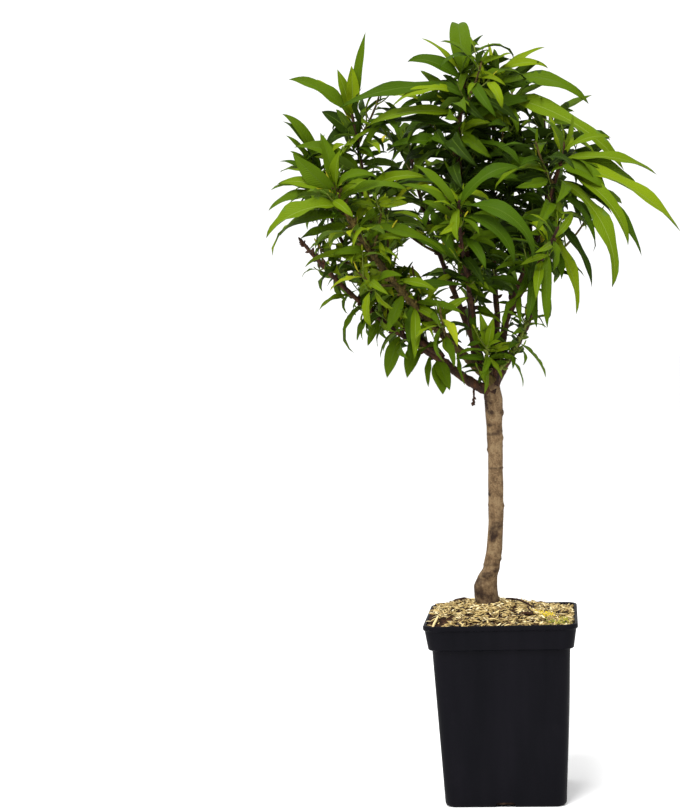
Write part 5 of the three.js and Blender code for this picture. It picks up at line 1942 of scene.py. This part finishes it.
@dataclass
class Crown:
    """All masses of foliage, each with its wood and its leaves."""

    foliage: Foliage = field(default_factory=Foliage)
    edge: Foliage = field(default_factory=lambda: Foliage(tuple(i / 16 for i in range(17))))
    sprig_length: float = 34.0
    sprig_spacing: float = 14.0
    sprig_leaves: int = 5
    sprig_size: float = 0.56
    sprig_broad: float = 1.3
    sprig_radii: Pair = (1.1, 0.6)
    fewest: int = 3  # leaves under which a sprig is left off
    bud: float = 6.0
    bud_span: Pair = (0.06, 0.98)  # places on the stem that bear buds
    knob: float = 4.5  # length of a dead bud
    knob_span: Pair = (0.86, 1.0)
    middle: Vector = field(default_factory=lambda: Vector((-12.0, 25.0, 700.0)))
    reach: Triple = (230.0, 160.0, 215.0)  # half of the crown each way
    shade: float = 2.4  # tones of painted shade, from the outside to the middle
    outside: float = 0.85  # share of the reach from which nothing is in shade
    young: float = 2.6  # tones lighter low on the left: partly the young leaves' own colour, partly painted light
    young_up: float = -65.0  # height of that place from the crown's middle
    young_high: float = 95.0  # half its height
    young_left: float = 60.0  # how far left of the middle it is full
    stray: Pair = (-1.2, 0.9)  # a spray's own tones
    sprig_turn: float = 40.0  # degrees from its shoot's first leaf to its first sprig
    sprig_index: int = 400  # from here on the numbers of shoots that bear sprigs
    sprig_seed: int = 1000  # from here on the numbers of sprigs
    sprig_room: int = 40  # sprigs that a shoot has numbers for
    slack: float = 2.0  # how far past its mass's box a finer leaf may reach
    outline_seed: int = 5000
    outline_room: int = 32  # outline leaves that a mass has numbers for

    def shoots(self, mass: Mass, index: int) -> tuple[list[Shoot], list[Shoot]]:
        """Grows the shoots of a mass.

        Args:
            mass: the mass.
            index: its number, which keeps its scatter its own.

        Returns:
            The shoots that the solids have too, and the finer sprigs on them.
        """
        base = index * TWIG.shoots_per_mass
        main = [Shoot(mass.stem, mass.leaves, mass.start, mass.end, mass.turn, 1.0, base, mass.bare)]
        if mass.twigs:
            main += twigs_of(mass.stem, mass.twigs, index, base + 1)
        fine: list[Shoot] = []
        start, end, share = mass.sprigs
        for k, shoot in enumerate(main, base):
            count = max(1, round(shoot.shape.length() * (end - start) * share / self.sprig_spacing))
            turn = shoot.turn + self.sprig_turn
            rule = Twigs(count, start, end, self.sprig_length, turn, self.sprig_leaves)
            seed = self.sprig_seed + k * self.sprig_room
            found = twigs_of(
                shoot.shape, rule, self.sprig_index + k, seed, *self.sprig_radii, self.sprig_size)
            for i, sprig in enumerate(found):
                at = mix(start, end, i / max(1, count - 1))
                if not shoot.bare[0] < at < shoot.bare[1] or -sprig.shape.along(0).y < LEAF.forward:
                    fine.append(replace(sprig, broad=self.sprig_broad))
        return main, fine

    def lightness(self, shoot: Shoot) -> int:
        """Finds how many tones lighter a spray is: less inside the crown, as painted shade, and by its own
        scatter.

        Args:
            shoot: the shoot that bears the spray.

        Returns:
            The number of tones.
        """
        spot = shoot.shape.at(0.7) - self.middle
        out = math.sqrt(sum((a / b) ** 2 for a, b in zip(spot, self.reach)))
        # Low on the left a spray is lighter: its leaves are young, and painted light is added there too.
        level = (spot.z - self.young_up) / self.young_high
        low = max(0.0, 1.0 - level**2) * limited(-spot.x / self.young_left)
        # Inside the crown a spray is darkened: painted shade.
        lift = self.young * low - self.shade * max(0.0, self.outside - out)
        return round(mix(*self.stray, chance(shoot.seed, 5, 40)) + lift)

    def keeps(self, leaf: Leaf, low: Vector, high: Vector) -> bool:
        """Returns whether a finer leaf stays in its mass's space."""
        tip = leaf.at(1.0)
        return all(a - self.slack < t < b + self.slack for a, t, b in zip(low, tip, high))

    def build(self) -> list[Piece]:
        """Builds every mass.

        Returns:
            The pieces of wood and of leaves.
        """
        made = []
        shape, fine_shape = self.foliage.blade().arrays(), self.edge.blade().arrays()
        materials, barks = self.foliage.materials(), dressed(BARKS)
        for index, (name, mass) in enumerate(MASSES.items()):
            nodes = [name + "_mass"]
            low, high = (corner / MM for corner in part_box(nodes[0]))
            main, fine = self.shoots(mass, index)
            first = self.outline_seed + index * self.outline_room
            outline = [outline_leaf(edge, mass, first + k) for k, edge in enumerate(mass.outline)]
            leaves = [leaf for shoot in main for leaf in spiral(shoot, mass)]
            pile = WoodPile(resolution=1, seed=index)
            pile.add_limb(mass.stem, mass.wood, steps=30, sink=5.0, knots=9, point=True)
            pile.add_buds(mass.stem, *self.bud_span, mass.buds, self.bud, mass.wood)
            pile.add_buds(mass.stem, *self.knob_span, mass.knobs, self.knob, mass.wood)
            for shoot in main[1:]:
                pile.add_limb(
                    shoot.shape, Wood.GREENING, steps=10, sink=1.0, flare=0.4, knots=4, point=True)
            for shoot in fine:
                sprig = [leaf for leaf in spiral(shoot, mass) if self.keeps(leaf, low, high)]
                if len(sprig) >= self.fewest:
                    leaves += sprig
                    pile.add_limb(shoot.shape, Wood.YOUNG, steps=5, sink=0.8, flare=0.5, point=True)
            spray = {s.seed: self.lightness(s) for s in [*main, *fine]}
            wood = pile.mesh(name + "_wood", rough=0.35, wave=3.0)
            made.append(settle(name + "_wood", wood, barks, nodes))
            blades = self.foliage.mesh(name + "_leaves", leaves, shape, spray)
            made.append(settle(name + "_leaves", blades, materials, nodes))
            if outline:
                blades = self.edge.mesh(name + "_outline", outline, fine_shape, {})
                made.append(settle(name + "_outline", blades, materials, nodes))
        return made


# ---------------------------------------------------------------- studio


@dataclass
class Studio:
    """A pale floor, soft white light and the camera, in metres."""

    position: Triple = (0.0793, -2.3565, 0.5829)
    yaw: float = 6.44
    pitch: float = 2.65
    roll: float = 1.99
    lens: float = 87.45
    floor_size: float = 40.0
    aim: Triple = (0.0, 0.0, 0.55)  # what the lamps look at
    sky: float = 1.12  # strength of the white all round
    lamps: tuple[tuple[str, Triple, float, float], ...] = (
        ("key_light", (-0.7, -1.7, 2.9), 1.4, 130.0), ("fill_light", (2.0, -1.6, 1.4), 1.6, 14.0),
    )  # each with its place, side and watts

    def camera(self) -> None:
        """Sets the camera up."""
        yaw, pitch, roll = (math.radians(a) for a in (self.yaw, self.pitch, self.roll))
        level = Vector((-math.sin(yaw), math.cos(yaw), 0))
        right = Vector((math.cos(yaw), math.sin(yaw), 0))
        ahead = level * math.cos(pitch) - Vector((0, 0, math.sin(pitch)))
        upright = right.cross(ahead)
        across = right * math.cos(roll) - upright * math.sin(roll)
        up = right * math.sin(roll) + upright * math.cos(roll)
        data = bpy.data.cameras.new("camera")
        data.sensor_width = 36.0
        data.lens = self.lens
        data.clip_end = 100.0
        camera = put("camera", data)
        turned = Matrix((across, up, -ahead)).transposed().to_4x4()
        camera.matrix_world = Matrix.Translation(self.position) @ turned
        bpy.context.scene.camera = camera

    def lamp(self, name: str, place: Triple, size: float, power: float) -> None:
        """Adds a soft square lamp that looks at the crown.

        Args:
            name: its name.
            place: where it stands.
            size: its side.
            power: its strength in watts.
        """
        data = bpy.data.lights.new(name, "AREA")
        data.size = size
        data.energy = power
        lamp = put(name, data)
        lamp.location = place
        lamp.rotation_euler = (Vector(self.aim) - Vector(place)).to_track_quat("-Z", "Y").to_euler()

    def floor(self) -> Piece:
        """Lays the floor, a sheet of matt white paper.

        Returns:
            The floor.
        """
        bm = bmesh.new()
        bmesh.ops.create_grid(bm, x_segments=1, y_segments=1, size=self.floor_size / 2)
        floor = put("floor", to_mesh(bm, "floor"))
        floor.data.materials.append(Plain("matt_white_paper", "f4f4f4", (0.9, 0.98), depth=0.02).material())
        return floor

    def build(self) -> Piece:
        """Sets the whole studio up.

        Returns:
            The floor.
        """
        self.camera()
        world = bpy.data.worlds.new("studio")
        world.use_nodes = True
        sky = world.node_tree.nodes["Background"]
        feed(world.node_tree, sky, {"Color": "ffffff", "Strength": self.sky})
        bpy.context.scene.world = world
        bpy.context.scene.view_settings.view_transform = "Standard"
        for lamp in self.lamps:
            self.lamp(*lamp)
        return self.floor()


def main() -> None:
    """Builds the tree, piece by piece, and the studio round it."""
    logging.basicConfig(level=logging.INFO, format="%(message)s")
    for builder in (NurseryPot(), Mulch(), Trunk(), Boughs(), Crown(), Studio()):
        made = builder.build()
        count = len(made) if isinstance(made, list) else 1
        log.info("%s: %d piece(s)", type(builder).__name__, count)
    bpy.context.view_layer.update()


if __name__ == "__main__":
    main()
